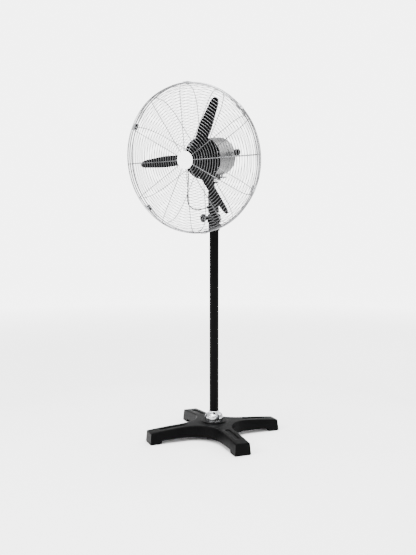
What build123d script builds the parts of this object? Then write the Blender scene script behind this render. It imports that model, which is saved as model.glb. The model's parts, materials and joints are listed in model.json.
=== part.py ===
from build123d import *
import os
from math import cos, radians, sin, tan

# Industrial pedestal fan, millimetres. Origin on the floor under the pole's axis, +Z up.
# The fan blows towards -Y. Each piece is one part, written to parts/ under its own name.

os.makedirs("parts", exist_ok=True)

# ---------------------------------------------------------------- driving dimensions
# stand
ARM_TURN = 52.2          # the cast arms are turned about the pole, degrees from +X
ARM_LENGTH = 392.0       # pole axis to the end of a foot
ARM_WIDTH = 92.0         # at the floor
ARM_FILLET = 150.0       # between two arms, in plan
CAST_DRAFT = 5.0         # sides of the casting
CAST_WALL = 7.0
FOOT_LENGTH = 57.0
PAD_HEIGHT = 4.0         # rubber below the casting
ROOF_CENTRE = 86.0       # top of the casting over the middle
ROOF_TIP = 64.0          # and at the end of an arm
ARCH_HEIGHT = 20.0       # underside of an arm above the floor
RECESS_DEPTH = 3.5       # of the long recesses in the tops of the arms
BOSS_RADIUS = 73.0
BOSS_TOP = 91.0
COLLAR_RADIUS = 51.0
COLLAR_TOP = 147.0
COLLAR_BOLT_RADIUS = 41.0
SET_SCREW_TURN = 299.5
SET_SCREW_HEIGHT = 140.0

# pole and tilt joint
POLE_RADIUS = 26.0
POLE_WALL = 2.5
POLE_FOOT = 80.0
POLE_TOP = 1212.0
SOCKET_RADIUS = 32.0
SOCKET_FOOT = 1168.0
SOCKET_TOP = 1219.0
TILT_HEIGHT = 1240.0
TILT_BOLT_RADIUS = 6.0
TONGUE_HALF = 17.0       # half the width of the neck's tongue
CHEEK_INNER = 18.0
CHEEK_OUTER = 31.0
CHEEK_RADIUS = 23.0
TONGUE_RADIUS = 20.0

# head
HEAD_TILT = 9.2          # the head looks down by this, degrees
MOTOR_RISE = 334.7       # tilt axis to motor axis, up the neck
RIM_FORWARD = 193.3      # neck axis to the middle of the guard's rim
NECK_TOP = 200.0         # all "neck" heights are up the neck from the tilt axis
SADDLE_FOOT = 201.2
SADDLE_PLATE = 216.0
SWIVEL_RADIUS = 10.0

DRUM_RADIUS = 105.0      # motor body
SHELL_WALL = 8.0
BELL_FRONT = -112.0      # stations along the motor axis, forward of the rim's middle
SHELL_FRONT = -130.0
SHELL_REAR = -240.0
COVER_REAR = -316.0
SHAFT_RADIUS = 8.0

RIM_RADIUS = 390.0
RIM_WIRE = 3.5           # wire radii
RIM_HALF_GAP = 11.0
HOOP_WIRE = 1.2
HOOP_PITCH = 15.0
RIB_WIRE = 1.9
RIB_COUNT = 12
BADGE_RADIUS = 47.0
CLIP_TURNS = (88, 38, -25, -83, -141, 150)
CLIP_ARC = 5.0

BLADE_TIP = 343.0
BLADE_PITCH = 26.0
BLADE_STATION = -26.0
BLADE_FIRST_TURN = 61.6
BLADE_GAUGE = 2.5

# oscillating crank, in the plan of the neck (x across, y to the rear)
CRANK_X = 22.0
CRANK_Y = 88.0
LUG_X = -29.11
LUG_Y = 7.26
CRANK_PIN_X = 4.75
CRANK_PIN_Y = 94.65
LINK_FOOT = 203.0
LINK_TOP = 208.0

LEAD_RADIUS = 3.25
FIT = 0.05               # radial running clearance

# ---------------------------------------------------------------- frames
BASE = Plane(
    origin=(0, 0, 0), z_dir=(0, 0, 1),
    x_dir=(cos(radians(ARM_TURN)), sin(radians(ARM_TURN)), 0),
)
NECK_UP = Vector(0, -sin(radians(HEAD_TILT)), cos(radians(HEAD_TILT)))
FORWARD = Vector(0, -cos(radians(HEAD_TILT)), -sin(radians(HEAD_TILT)))
TILT_PIVOT = Vector(0, 0, TILT_HEIGHT)
RIM_CENTRE = TILT_PIVOT + NECK_UP * MOTOR_RISE + FORWARD * RIM_FORWARD

NECK = Plane(origin=TILT_PIVOT, x_dir=(1, 0, 0), z_dir=NECK_UP)        # x across, y to the rear
NECK_SECTION = Plane(origin=TILT_PIVOT, x_dir=(1, 0, 0), z_dir=FORWARD)  # x across, y up the neck
NECK_SIDE = Plane(origin=TILT_PIVOT, x_dir=(0, 1, 0), z_dir=(1, 0, 0))
SWIVEL = Axis(TILT_PIVOT, NECK_UP)
FACE = Plane(origin=RIM_CENTRE, x_dir=(1, 0, 0), z_dir=FORWARD)        # x across, y up, z forward
SPIN = Axis(RIM_CENTRE, FORWARD)


def radial_plane(turn):
    """Plane through the motor axis: x is the station along it, y the radius at this turn."""
    spoke = FACE.x_dir * cos(radians(turn)) + FACE.y_dir * sin(radians(turn))
    return Plane(origin=RIM_CENTRE, x_dir=FORWARD, z_dir=FORWARD.cross(spoke))


def side_plane(sign=1):
    """Plane facing +X or -X whose x runs forward along the motor axis and y up from it."""
    if sign > 0:
        return Plane(origin=RIM_CENTRE, x_dir=-FORWARD, z_dir=(1, 0, 0))
    return Plane(origin=RIM_CENTRE, x_dir=FORWARD, z_dir=(-1, 0, 0))


SIDE = radial_plane(90)


def save(builder, name):
    """Label a finished piece and write its STEP file."""
    builder.part.label = name
    export_step(builder.part, f"parts/{name}.step")


def turned(name, plane, axis, outline):
    """A piece turned about an axis from a closed outline of (x, y) points in a plane."""
    with BuildPart() as piece:
        with BuildSketch(plane):
            with BuildLine():
                Polyline(*outline, close=True)
            make_face()
        revolve(axis=axis)
    save(piece, name)
    return piece


# ================================================================ stand
def cross_outline(inset=0.0):
    """The four-armed plan of the base, with its big fillets, drawn in the current sketch."""
    width = ARM_WIDTH - 2 * inset
    Rectangle(2 * (ARM_LENGTH - inset), width)
    Rectangle(width, 2 * (ARM_LENGTH - inset))


def roof_section(drop=0.0):
    """Section of the space under the arched roof, to be turned about the pole's axis."""
    reach = ARM_LENGTH + 30
    fall = (ROOF_CENTRE - ROOF_TIP) / ARM_LENGTH**2
    with BuildSketch(Plane.XZ) as section:
        with BuildLine():
            top = ThreePointArc(
                (0, ROOF_CENTRE - drop),
                (reach / 2, ROOF_CENTRE - drop - fall * (reach / 2) ** 2),
                (reach, ROOF_CENTRE - drop - fall * reach**2),
            )
            Polyline(top @ 1, (reach, 0), (0, 0), top @ 0)
        make_face()
    return section.sketch


with BuildPart() as cavity:
    with BuildSketch(BASE.offset(PAD_HEIGHT)) as plan:
        cross_outline(CAST_WALL)
        fillet(plan.vertices().sort_by(SortBy.DISTANCE)[:4], ARM_FILLET + CAST_WALL)
    extrude(amount=ROOF_CENTRE, taper=CAST_DRAFT)
    revolve(roof_section(CAST_WALL), axis=Axis.Z, mode=Mode.INTERSECT)

# long shallow recesses in the tops of the arms, following the roof
with BuildPart() as recesses:
    with BuildSketch(BASE.offset(ROOF_TIP - 20)):
        with PolarLocations(252, 4):
            SlotOverall(150, 26)
    extrude(amount=ROOF_CENTRE + 20 - ROOF_TIP)
    revolve(roof_section(RECESS_DEPTH), axis=Axis.Z, mode=Mode.SUBTRACT)

ARCH_START = ARM_LENGTH - FOOT_LENGTH
with BuildPart() as base_casting:
    with BuildSketch(BASE.offset(PAD_HEIGHT)) as plan:
        cross_outline()
        fillet(plan.vertices().sort_by(SortBy.DISTANCE)[:4], ARM_FILLET)
    extrude(amount=ROOF_CENTRE + 10, taper=CAST_DRAFT)
    revolve(roof_section(), axis=Axis.Z, mode=Mode.INTERSECT)
    # rounded top edges
    top_face = base_casting.faces().sort_by(Axis.Z)[-1]
    fillet(top_face.outer_wire().edges(), 5)
    # raised seat for the collar
    with BuildSketch(BASE.offset(ROOF_CENTRE - 12)):
        Circle(BOSS_RADIUS)
    extrude(amount=BOSS_TOP - ROOF_CENTRE + 12, taper=12)
    # hollow underside and the arch between the feet
    add(cavity.part, mode=Mode.SUBTRACT)
    with BuildSketch(Plane.XZ):
        with BuildLine():
            Polyline(
                (0, 0), (ARCH_START, 0), (ARCH_START - 7, ARCH_HEIGHT - 3),
                (ARCH_START - 16, ARCH_HEIGHT), (0, ARCH_HEIGHT + 3), close=True,
            )
        make_face()
    revolve(axis=Axis.Z, mode=Mode.SUBTRACT)
    # columns under the seat for the collar's bolts and the pole
    with BuildSketch(BASE.offset(ROOF_CENTRE - 42)):
        Circle(33)
        with PolarLocations(COLLAR_BOLT_RADIUS, 4):
            Circle(13)
    extrude(amount=40)
    # stiffening web along each arm
    for turn in (0, 90):
        with BuildSketch(BASE.offset(ROOF_CENTRE - 36)):
            with PolarLocations(150, 2, start_angle=turn):
                Rectangle(240, 6)
        extrude(amount=22)
    add(recesses.part, mode=Mode.SUBTRACT)
    # seat of the pole and the bolt holes
    with Locations(BASE.offset(BOSS_TOP)):
        Hole(POLE_RADIUS + 0.1, BOSS_TOP - POLE_FOOT)
    with Locations(BASE.offset(BOSS_TOP)):
        with PolarLocations(COLLAR_BOLT_RADIUS, 4):
            Hole(5.2)
save(base_casting, "base_casting")

PAD_MARGIN = 2.0
PLUG_HEIGHT = 16.0
with BuildPart() as foot_pads:
    # a flat sole under the rim of the casting, and a plug up inside the foot
    with BuildSketch(BASE):
        with PolarLocations(ARM_LENGTH - FOOT_LENGTH / 2, 4):
            RectangleRounded(FOOT_LENGTH - 2 * PAD_MARGIN, ARM_WIDTH - 2 * PAD_MARGIN, 5)
    extrude(amount=PAD_HEIGHT)
    with BuildSketch(BASE.offset(PAD_HEIGHT)):
        with PolarLocations(ARM_LENGTH - FOOT_LENGTH / 2 - 2, 4):
            RectangleRounded(FOOT_LENGTH - 17, ARM_WIDTH - 24, 8)
    extrude(amount=PLUG_HEIGHT - PAD_HEIGHT)
save(foot_pads, "foot_pads")

with BuildPart() as pole_collar:
    with BuildSketch(Plane.XZ):
        with BuildLine():
            edge = Polyline(
                (POLE_RADIUS + 0.1, BOSS_TOP), (COLLAR_RADIUS, BOSS_TOP), (COLLAR_RADIUS, BOSS_TOP + 12),
            )
            crown = ThreePointArc(edge @ 1, (COLLAR_RADIUS - 4, BOSS_TOP + 34), (38, COLLAR_TOP - 14))
            Polyline(
                crown @ 1, (30, COLLAR_TOP - 12), (30, COLLAR_TOP - 1), (29, COLLAR_TOP),
                (POLE_RADIUS + 0.1, COLLAR_TOP), edge @ 0,
            )
        make_face()
    revolve(axis=Axis.Z)
    # pockets over the four bolts
    with BuildSketch(BASE.offset(BOSS_TOP + 9)):
        with PolarLocations(COLLAR_BOLT_RADIUS + 3, 4):
            SlotOverall(30, 23)
    extrude(amount=50, taper=3, mode=Mode.SUBTRACT)
    # shallow flutes between the lobes
    with Locations(BASE.offset(BOSS_TOP + 70)):
        with PolarLocations(COLLAR_RADIUS + 6, 4, start_angle=45):
            Cylinder(9, 100, mode=Mode.SUBTRACT)
    with Locations(BASE.offset(BOSS_TOP + 9)):
        with PolarLocations(COLLAR_BOLT_RADIUS, 4):
            Hole(5.2)
    set_screw_plane = Plane(
        origin=(0, 0, SET_SCREW_HEIGHT), x_dir=(0, 0, 1),
        z_dir=(cos(radians(SET_SCREW_TURN)), sin(radians(SET_SCREW_TURN)), 0),
    )
    with BuildSketch(set_screw_plane.offset(20)):
        Circle(4)
    extrude(amount=30, mode=Mode.SUBTRACT)
save(pole_collar, "pole_collar")

with BuildPart() as collar_bolts:
    with BuildSketch(BASE.offset(ROOF_CENTRE - 36)):
        with PolarLocations(COLLAR_BOLT_RADIUS, 4):
            Circle(5)
    extrude(amount=BOSS_TOP + 9 - ROOF_CENTRE + 36)
    with BuildSketch(BASE.offset(BOSS_TOP + 9)):
        with PolarLocations(COLLAR_BOLT_RADIUS, 4):
            Circle(10)
    extrude(amount=2)
    with BuildSketch(BASE.offset(BOSS_TOP + 11)):
        with PolarLocations(COLLAR_BOLT_RADIUS, 4):
            RegularPolygon(8.5, 6)
    extrude(amount=7)
save(collar_bolts, "collar_bolts")

with BuildPart() as collar_set_screw:
    with BuildSketch(set_screw_plane.offset(POLE_RADIUS)):
        Circle(3.95)
    extrude(amount=12.4)
    with BuildSketch(set_screw_plane.offset(POLE_RADIUS + 12.4)):
        Circle(6.5)
        RegularPolygon(3, 6, mode=Mode.SUBTRACT)
    extrude(amount=5)
save(collar_set_screw, "collar_set_screw")

with BuildPart() as pole:
    with BuildSketch(Plane.XY.offset(POLE_FOOT)):
        Circle(POLE_RADIUS)
        Circle(POLE_RADIUS - POLE_WALL, mode=Mode.SUBTRACT)
    extrude(amount=POLE_TOP - POLE_FOOT)
save(pole, "pole")

# where the supply cord would enter, low on the back of the pole
INLET_HEIGHT = 225.0
inlet_plane = Plane(origin=(0, 0, INLET_HEIGHT), x_dir=(1, 0, 0), z_dir=(0, 1, 0))
with BuildPart() as inlet_gland:
    with BuildSketch(inlet_plane.offset(POLE_RADIUS - 0.4)):
        RegularPolygon(9, 6)
        Circle(3.6, mode=Mode.SUBTRACT)
    extrude(amount=7)
    with BuildSketch(inlet_plane.offset(POLE_RADIUS + 6.6)):
        Circle(7)
        Circle(3.6, mode=Mode.SUBTRACT)
    extrude(amount=9, taper=8)
save(inlet_gland, "inlet_gland")

# ================================================================ tilt joint
with BuildPart() as tilt_bracket:
    with BuildSketch(Plane.XY.offset(SOCKET_FOOT)):
        Circle(SOCKET_RADIUS)
    extrude(amount=SOCKET_TOP - SOCKET_FOOT)
    for side in (-1, 1):
        with BuildSketch(Plane.YZ.offset(side * CHEEK_INNER)):
            with Locations((0, TILT_HEIGHT)):
                Circle(CHEEK_RADIUS)
            with Locations((0, (SOCKET_TOP - 4 + TILT_HEIGHT) / 2)):
                Rectangle(2 * CHEEK_RADIUS, TILT_HEIGHT - SOCKET_TOP + 4)
        extrude(amount=side * (CHEEK_OUTER - CHEEK_INNER))
    with BuildSketch(Plane.XY.offset(SOCKET_FOOT)):
        Circle(POLE_RADIUS + 0.1)
    extrude(amount=POLE_TOP + 0.2 - SOCKET_FOOT, mode=Mode.SUBTRACT)
    with BuildSketch(Plane.YZ.offset(-CHEEK_OUTER)):
        with Locations((0, TILT_HEIGHT)):
            Circle(TILT_BOLT_RADIUS + FIT)
    extrude(amount=2 * CHEEK_OUTER, mode=Mode.SUBTRACT)
    CLAMP_HEIGHT = 1199.0
    with BuildSketch(Plane.YZ.offset(POLE_RADIUS)):
        with Locations((0, CLAMP_HEIGHT)):
            Circle(5)
    extrude(amount=20, mode=Mode.SUBTRACT)
    chamfer(tilt_bracket.faces().sort_by(Axis.Z)[0].outer_wire().edges(), 1.5)
save(tilt_bracket, "tilt_bracket")

with BuildPart() as clamp_screw:
    with BuildSketch(Plane.YZ.offset(POLE_RADIUS)):
        with Locations((0, CLAMP_HEIGHT)):
            Circle(4.9)
    extrude(amount=14)
    with BuildSketch(Plane.YZ.offset(POLE_RADIUS + 11)):
        with Locations((0, CLAMP_HEIGHT)):
            RegularPolygon(8.5, 6)
    extrude(amount=7)
save(clamp_screw, "clamp_screw")

with BuildPart() as tilt_bolt:
    with BuildSketch(Plane.YZ.offset(CHEEK_OUTER)):
        with Locations((0, TILT_HEIGHT)):
            Circle(TILT_BOLT_RADIUS)
    extrude(amount=-CHEEK_OUTER - 66)
    with BuildSketch(Plane.YZ.offset(CHEEK_OUTER)):
        with Locations((0, TILT_HEIGHT)):
            RegularPolygon(11, 6)
    extrude(amount=8)
save(tilt_bolt, "tilt_bolt")

# nylon discs each side of the tongue, and a steel washer under the hand knob
with BuildPart() as tilt_washers:
    with BuildSketch(Plane.YZ.offset(-CHEEK_OUTER)):
        with Locations((0, TILT_HEIGHT)):
            Circle(14)
            Circle(TILT_BOLT_RADIUS + FIT, mode=Mode.SUBTRACT)
    extrude(amount=-2.5)
    for side in (-1, 1):
        with BuildSketch(Plane.YZ.offset(side * (TONGUE_HALF + 0.05))):
            with Locations((0, TILT_HEIGHT)):
                Circle(TONGUE_RADIUS - 1)
                Circle(TILT_BOLT_RADIUS + FIT, mode=Mode.SUBTRACT)
        extrude(amount=side * 0.9)
save(tilt_washers, "tilt_washers")

KNOB_BACK = -34.0
KNOB_FRONT = -83.0
with BuildPart() as tilt_knob:
    with BuildSketch(Plane.XZ):
        with BuildLine():
            Polyline(
                (KNOB_BACK, TILT_HEIGHT), (KNOB_BACK, TILT_HEIGHT + 12), (KNOB_FRONT + 25, TILT_HEIGHT + 12),
                (KNOB_FRONT + 22, TILT_HEIGHT + 24), (KNOB_FRONT + 6, TILT_HEIGHT + 24),
                (KNOB_FRONT, TILT_HEIGHT + 17), (KNOB_FRONT - 2, TILT_HEIGHT), close=True,
            )
        make_face()
    revolve(axis=Axis((0, 0, TILT_HEIGHT), (1, 0, 0)))
    knob_plane = Plane(origin=(KNOB_FRONT - 5, 0, TILT_HEIGHT), x_dir=(0, 1, 0), z_dir=(1, 0, 0))
    with BuildSketch(knob_plane):
        with PolarLocations(29.5, 6):
            Circle(9)
    extrude(amount=32, mode=Mode.SUBTRACT)
    with BuildSketch(knob_plane.offset(5 + KNOB_BACK - KNOB_FRONT)):
        Circle(TILT_BOLT_RADIUS + FIT)
    extrude(amount=-36, mode=Mode.SUBTRACT)
save(tilt_knob, "tilt_knob")

# ================================================================ neck
with BuildPart() as neck_casting:
    with BuildSketch(NECK_SIDE.offset(-TONGUE_HALF)):
        Circle(TONGUE_RADIUS)
    extrude(amount=2 * TONGUE_HALF)
    with BuildSketch(NECK):
        Rectangle(2 * TONGUE_HALF, 34)
    extrude(amount=30)
    with BuildSketch(NECK_SECTION):
        with BuildLine():
            lower = Polyline((0, 27), (28, 27), (31, 30), (31, 62))
            shoulder = ThreePointArc(lower @ 1, (29.8, 68), (28, 74))
            Polyline(
                shoulder @ 1, (25, 130), (18, 172), (18, 186), (24, 190), (38, 192),
                (38, NECK_TOP), (0, NECK_TOP), lower @ 0,
            )
        make_face()
    revolve(axis=SWIVEL)
    with BuildSketch(NECK.offset(NECK_TOP)):
        Circle(14)
    extrude(amount=-90, mode=Mode.SUBTRACT)
    with BuildSketch(NECK_SIDE.offset(-TONGUE_HALF)):
        Circle(TILT_BOLT_RADIUS + FIT)
    extrude(amount=2 * TONGUE_HALF, mode=Mode.SUBTRACT)
    with BuildSketch(NECK.offset(NECK_TOP)):
        with Locations((LUG_X, LUG_Y)):
            Circle(4)
    extrude(amount=-7, mode=Mode.SUBTRACT)
save(neck_casting, "neck_casting")

turned("swivel_bush", NECK_SECTION, SWIVEL, [
    (SWIVEL_RADIUS + FIT, 112), (14, 112), (14, NECK_TOP), (15.5, NECK_TOP),
    (15.5, NECK_TOP + 1), (SWIVEL_RADIUS + FIT, NECK_TOP + 1),
])

with BuildPart() as link_pin:
    with BuildSketch(NECK.offset(NECK_TOP - 7)):
        with Locations((LUG_X, LUG_Y)):
            Circle(4)
    extrude(amount=LINK_TOP - NECK_TOP + 7)
    with BuildSketch(NECK.offset(NECK_TOP)):
        with Locations((LUG_X, LUG_Y)):
            Circle(7)
    extrude(amount=LINK_FOOT - NECK_TOP - 0.2)
    with BuildSketch(NECK.offset(LINK_TOP)):
        with Locations((LUG_X, LUG_Y)):
            Circle(4)
    extrude(amount=0.3)
    with BuildSketch(NECK.offset(LINK_TOP + 0.3)):
        with Locations((LUG_X, LUG_Y)):
            Circle(6)
    extrude(amount=0.9)
save(link_pin, "link_pin")

LINK_REACH = ((CRANK_PIN_X - LUG_X) ** 2 + (CRANK_PIN_Y - LUG_Y) ** 2) ** 0.5
LINK_PLANE = Plane(
    origin=NECK.from_local_coords((LUG_X, LUG_Y, LINK_FOOT)), z_dir=NECK_UP,
    x_dir=NECK.x_dir * (CRANK_PIN_X - LUG_X) + NECK.y_dir * (CRANK_PIN_Y - LUG_Y),
)
with BuildPart() as crank_link:
    with BuildSketch(LINK_PLANE):
        with Locations((LINK_REACH / 2, 0)):
            Rectangle(LINK_REACH, 9)
        with Locations((0, 0), (LINK_REACH, 0)):
            Circle(8)
        Circle(4 + FIT, mode=Mode.SUBTRACT)
        with Locations((LINK_REACH, 0)):
            Circle(4 + FIT, mode=Mode.SUBTRACT)
    extrude(amount=LINK_TOP - LINK_FOOT)
save(crank_link, "crank_link")

# ================================================================ motor
with BuildPart() as motor_saddle:
    with BuildSketch(NECK.offset(SADDLE_PLATE)):
        RectangleRounded(82, 88, 10)
    extrude(amount=26)
    with BuildSketch(FACE.offset(SHELL_REAR)):
        Circle(DRUM_RADIUS)
    extrude(amount=200, mode=Mode.SUBTRACT)
    with BuildSketch(NECK.offset(SADDLE_FOOT)):
        Circle(16)
    extrude(amount=SADDLE_PLATE - SADDLE_FOOT)
    with BuildSketch(NECK.offset(SADDLE_FOOT)):
        Circle(SWIVEL_RADIUS)
    extrude(amount=22, mode=Mode.SUBTRACT)
    with BuildSketch(NECK.offset(SADDLE_PLATE)):
        with GridLocations(60, 64, 2, 2):
            Circle(4.2)
    extrude(amount=30, mode=Mode.SUBTRACT)
save(motor_saddle, "motor_saddle")

with BuildPart() as swivel_pin:
    with BuildSketch(NECK.offset(116)):
        Circle(SWIVEL_RADIUS)
    extrude(amount=SADDLE_FOOT + 22 - 116)
    chamfer(swivel_pin.faces().sort_by(SWIVEL)[0].edges(), 1.5)
save(swivel_pin, "swivel_pin")

with BuildPart() as saddle_bolts:
    with BuildSketch(NECK.offset(SADDLE_PLATE)):
        with GridLocations(60, 64, 2, 2):
            Circle(4)
    extrude(amount=24)
    with BuildSketch(NECK.offset(SADDLE_PLATE)):
        with GridLocations(60, 64, 2, 2):
            RegularPolygon(7.2, 6)
    extrude(amount=-5.5)
save(saddle_bolts, "saddle_bolts")

turned("motor_shell", SIDE, SPIN, [
    (SHELL_REAR, DRUM_RADIUS - SHELL_WALL), (SHELL_REAR, DRUM_RADIUS),
    (SHELL_FRONT, DRUM_RADIUS), (SHELL_FRONT, DRUM_RADIUS - SHELL_WALL),
])

TIE_BOLT_CIRCLE = 92.5
with BuildPart() as front_bell:
    with BuildSketch(SIDE):
        with BuildLine():
            Polyline(
                (BELL_FRONT + 14, 11), (BELL_FRONT + 14, 24), (BELL_FRONT + 1, 30), (BELL_FRONT, 36),
                (BELL_FRONT, 95), (BELL_FRONT - 3, 99), (BELL_FRONT - 4, 99), (BELL_FRONT - 4, 109),
                (BELL_FRONT - 9, 109), (BELL_FRONT - 12, DRUM_RADIUS), (SHELL_FRONT, DRUM_RADIUS),
                (SHELL_FRONT, DRUM_RADIUS - SHELL_WALL), (BELL_FRONT - 6, DRUM_RADIUS - SHELL_WALL),
                (BELL_FRONT - 6, 26), (BELL_FRONT - 1, 20), (BELL_FRONT + 11, 20), (BELL_FRONT + 11, 11),
                close=True,
            )
        make_face()
    revolve(axis=SPIN)
    with BuildSketch(FACE.offset(BELL_FRONT)):
        with PolarLocations(TIE_BOLT_CIRCLE, 4, start_angle=45):
            Circle(2.6)
    extrude(amount=-12, mode=Mode.SUBTRACT)
save(front_bell, "front_bell")

with BuildPart() as rear_bell:
    with BuildSketch(SIDE):
        with BuildLine():
            Polyline(
                (SHELL_REAR, 103), (SHELL_REAR - 12, 103), (SHELL_REAR - 12, 98), (SHELL_REAR - 5, 98),
                (SHELL_REAR - 5, 24), (SHELL_REAR - 9, 20), (SHELL_REAR - 9, 9), (SHELL_REAR - 6, 9),
                (SHELL_REAR - 6, 16), (SHELL_REAR + 6, 16), (SHELL_REAR + 6, 20), (SHELL_REAR, 24),
                close=True,
            )
        make_face()
    revolve(axis=SPIN)
    with BuildSketch(FACE.offset(SHELL_REAR)):
        with PolarLocations(TIE_BOLT_CIRCLE, 4, start_angle=45):
            Circle(2.6)
    extrude(amount=-12, mode=Mode.SUBTRACT)
save(rear_bell, "rear_bell")

with BuildPart() as tie_bolts:
    with BuildSketch(FACE.offset(BELL_FRONT)):
        with PolarLocations(TIE_BOLT_CIRCLE, 4, start_angle=45):
            Circle(2.5)
    extrude(amount=SHELL_REAR - 9 - BELL_FRONT)
    with BuildSketch(FACE.offset(BELL_FRONT)):
        with PolarLocations(TIE_BOLT_CIRCLE, 4, start_angle=45):
            Circle(4.8)
    extrude(amount=3.5)
save(tie_bolts, "tie_bolts")

turned("front_bearing", SIDE, SPIN, [
    (BELL_FRONT + 11, SHAFT_RADIUS + FIT), (BELL_FRONT + 11, 20),
    (BELL_FRONT - 1, 20), (BELL_FRONT - 1, SHAFT_RADIUS + FIT),
])
turned("rear_bearing", SIDE, SPIN, [
    (SHELL_REAR - 6, SHAFT_RADIUS + FIT), (SHELL_REAR - 6, 16),
    (SHELL_REAR + 6, 16), (SHELL_REAR + 6, SHAFT_RADIUS + FIT),
])

STATOR_FRONT = -154.0
STATOR_REAR = -216.0
with BuildPart() as stator_core:
    with BuildSketch(FACE.offset(STATOR_FRONT)):
        Circle(88)
        Circle(58, mode=Mode.SUBTRACT)
        with PolarLocations(66, 24):
            SlotOverall(15, 6, mode=Mode.SUBTRACT)
    extrude(amount=STATOR_REAR - STATOR_FRONT)
save(stator_core, "stator_core")

with BuildPart() as windings:
    for start, reach in ((STATOR_FRONT, 16), (STATOR_REAR, -16)):
        with BuildSketch(FACE.offset(start)):
            Circle(82)
            Circle(60, mode=Mode.SUBTRACT)
        extrude(amount=reach, taper=4)
save(windings, "windings")

turned("rotor_core", SIDE, SPIN, [
    (STATOR_REAR, SHAFT_RADIUS), (STATOR_REAR, 57.5), (STATOR_FRONT, 57.5), (STATOR_FRONT, SHAFT_RADIUS),
])
SHAFT_FRONT = 6.0
SHAFT_REAR = -296.0
turned("motor_shaft", SIDE, SPIN, [
    (SHAFT_REAR, 0), (SHAFT_REAR, 4), (-292, 4), (-291, 6), (-267, 6), (-266, 4), (-262, 4),
    (-262, SHAFT_RADIUS),
    (SHAFT_FRONT - 1, SHAFT_RADIUS), (SHAFT_FRONT, SHAFT_RADIUS - 1), (SHAFT_FRONT, 0),
])

# ---------------------------------------------------------------- gearbox and crank
HOUSING_FRONT = -250.0
HOUSING_REAR = -304.0
CLUTCH_STATION = -279.0
CLUTCH_RISE = 16.0
CRANK_FOOT = 213.0
crank_axis_plane = Plane(
    origin=NECK.from_local_coords((CRANK_X, CRANK_Y, 0)), x_dir=(1, 0, 0), z_dir=NECK_UP,
)
with BuildPart() as gearbox_housing:
    with BuildSketch(FACE.offset(HOUSING_REAR)):
        with Locations((14, -4)):
            RectangleRounded(64, 64, 6)
    extrude(amount=HOUSING_FRONT - HOUSING_REAR)
    with BuildSketch(FACE.offset(HOUSING_REAR + 3)):
        with Locations((14, -4)):
            RectangleRounded(58, 58, 4)
    extrude(amount=HOUSING_FRONT - HOUSING_REAR - 6, mode=Mode.SUBTRACT)
    with BuildSketch(crank_axis_plane.offset(MOTOR_RISE - 36)):
        Circle(10)
    extrude(amount=-56)
    with BuildSketch(crank_axis_plane.offset(MOTOR_RISE - 30)):
        Circle(6 + FIT)
    extrude(amount=-70, mode=Mode.SUBTRACT)
    with BuildSketch(FACE.offset(HOUSING_FRONT)):
        Circle(SHAFT_RADIUS + 0.5)
    extrude(amount=-4, mode=Mode.SUBTRACT)
    with BuildSketch(side_plane(1).offset(30)):
        with Locations((-CLUTCH_STATION, CLUTCH_RISE)):
            Circle(4 + FIT)
    extrude(amount=20, mode=Mode.SUBTRACT)
save(gearbox_housing, "gearbox_housing")

with BuildPart() as worm_wheel:
    with BuildSketch(crank_axis_plane.offset(MOTOR_RISE - 4)):
        Circle(15.4)
        Circle(6, mode=Mode.SUBTRACT)
        with PolarLocations(15.9, 30):
            Circle(0.8, mode=Mode.SUBTRACT)
    extrude(amount=8)
save(worm_wheel, "worm_wheel")

with BuildPart() as oscillating_crank:
    with BuildSketch(crank_axis_plane.offset(CRANK_FOOT)):
        Circle(26)
    extrude(amount=7)
    with BuildSketch(crank_axis_plane.offset(CRANK_FOOT)):
        Circle(6)
    extrude(amount=MOTOR_RISE + 8 - CRANK_FOOT)
    with BuildSketch(NECK.offset(CRANK_FOOT)):
        with Locations((CRANK_PIN_X, CRANK_PIN_Y)):
            Circle(4)
    extrude(amount=LINK_TOP + 0.6 - CRANK_FOOT)
save(oscillating_crank, "oscillating_crank")

# ---------------------------------------------------------------- rear cover
SWITCH_X = -42.0
with BuildPart() as rear_cover:
    with BuildSketch(SIDE):
        with BuildLine():
            wall = Polyline((SHELL_REAR, 103), (SHELL_REAR, DRUM_RADIUS), (COVER_REAR + 14, DRUM_RADIUS))
            corner = TangentArc(wall @ 1, (COVER_REAR, DRUM_RADIUS - 14), tangent=(-1, 0))
            Polyline(
                corner @ 1, (COVER_REAR, 0), (COVER_REAR + 2, 0), (COVER_REAR + 2, 88),
                (COVER_REAR + 17, 103), wall @ 0,
            )
        make_face()
    revolve(axis=SPIN)
    with BuildSketch(crank_axis_plane.offset(MOTOR_RISE - 80)):
        Circle(11)
    extrude(amount=-50, mode=Mode.SUBTRACT)
    with BuildSketch(side_plane(1).offset(90)):
        with Locations((-CLUTCH_STATION, CLUTCH_RISE)):
            Circle(4.5)
    extrude(amount=30, mode=Mode.SUBTRACT)
    with BuildSketch(FACE.offset(COVER_REAR)):
        with Locations((SWITCH_X, 0)):
            Circle(5)
    extrude(amount=5, mode=Mode.SUBTRACT)
    with BuildSketch(FACE.offset(COVER_REAR)):
        with PolarLocations(70, 5, start_angle=60, angular_range=60):
            SlotOverall(22, 4, rotation=90)
        with PolarLocations(70, 5, start_angle=240, angular_range=60):
            SlotOverall(22, 4, rotation=90)
    extrude(amount=5, mode=Mode.SUBTRACT)
save(rear_cover, "rear_cover")

with BuildPart() as cover_screws:
    for turn in (35, 145, 215, 325):
        spoke = FACE.x_dir * cos(radians(turn)) + FACE.y_dir * sin(radians(turn))
        screw_plane = Plane(
            origin=RIM_CENTRE + FORWARD * (SHELL_REAR - 7) + spoke * DRUM_RADIUS,
            x_dir=FORWARD, z_dir=spoke,
        )
        with BuildSketch(screw_plane):
            Circle(4.5)
        extrude(amount=2.4, taper=20)
        with BuildSketch(screw_plane):
            Circle(2)
        extrude(amount=-6)
save(cover_screws, "cover_screws")

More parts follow.
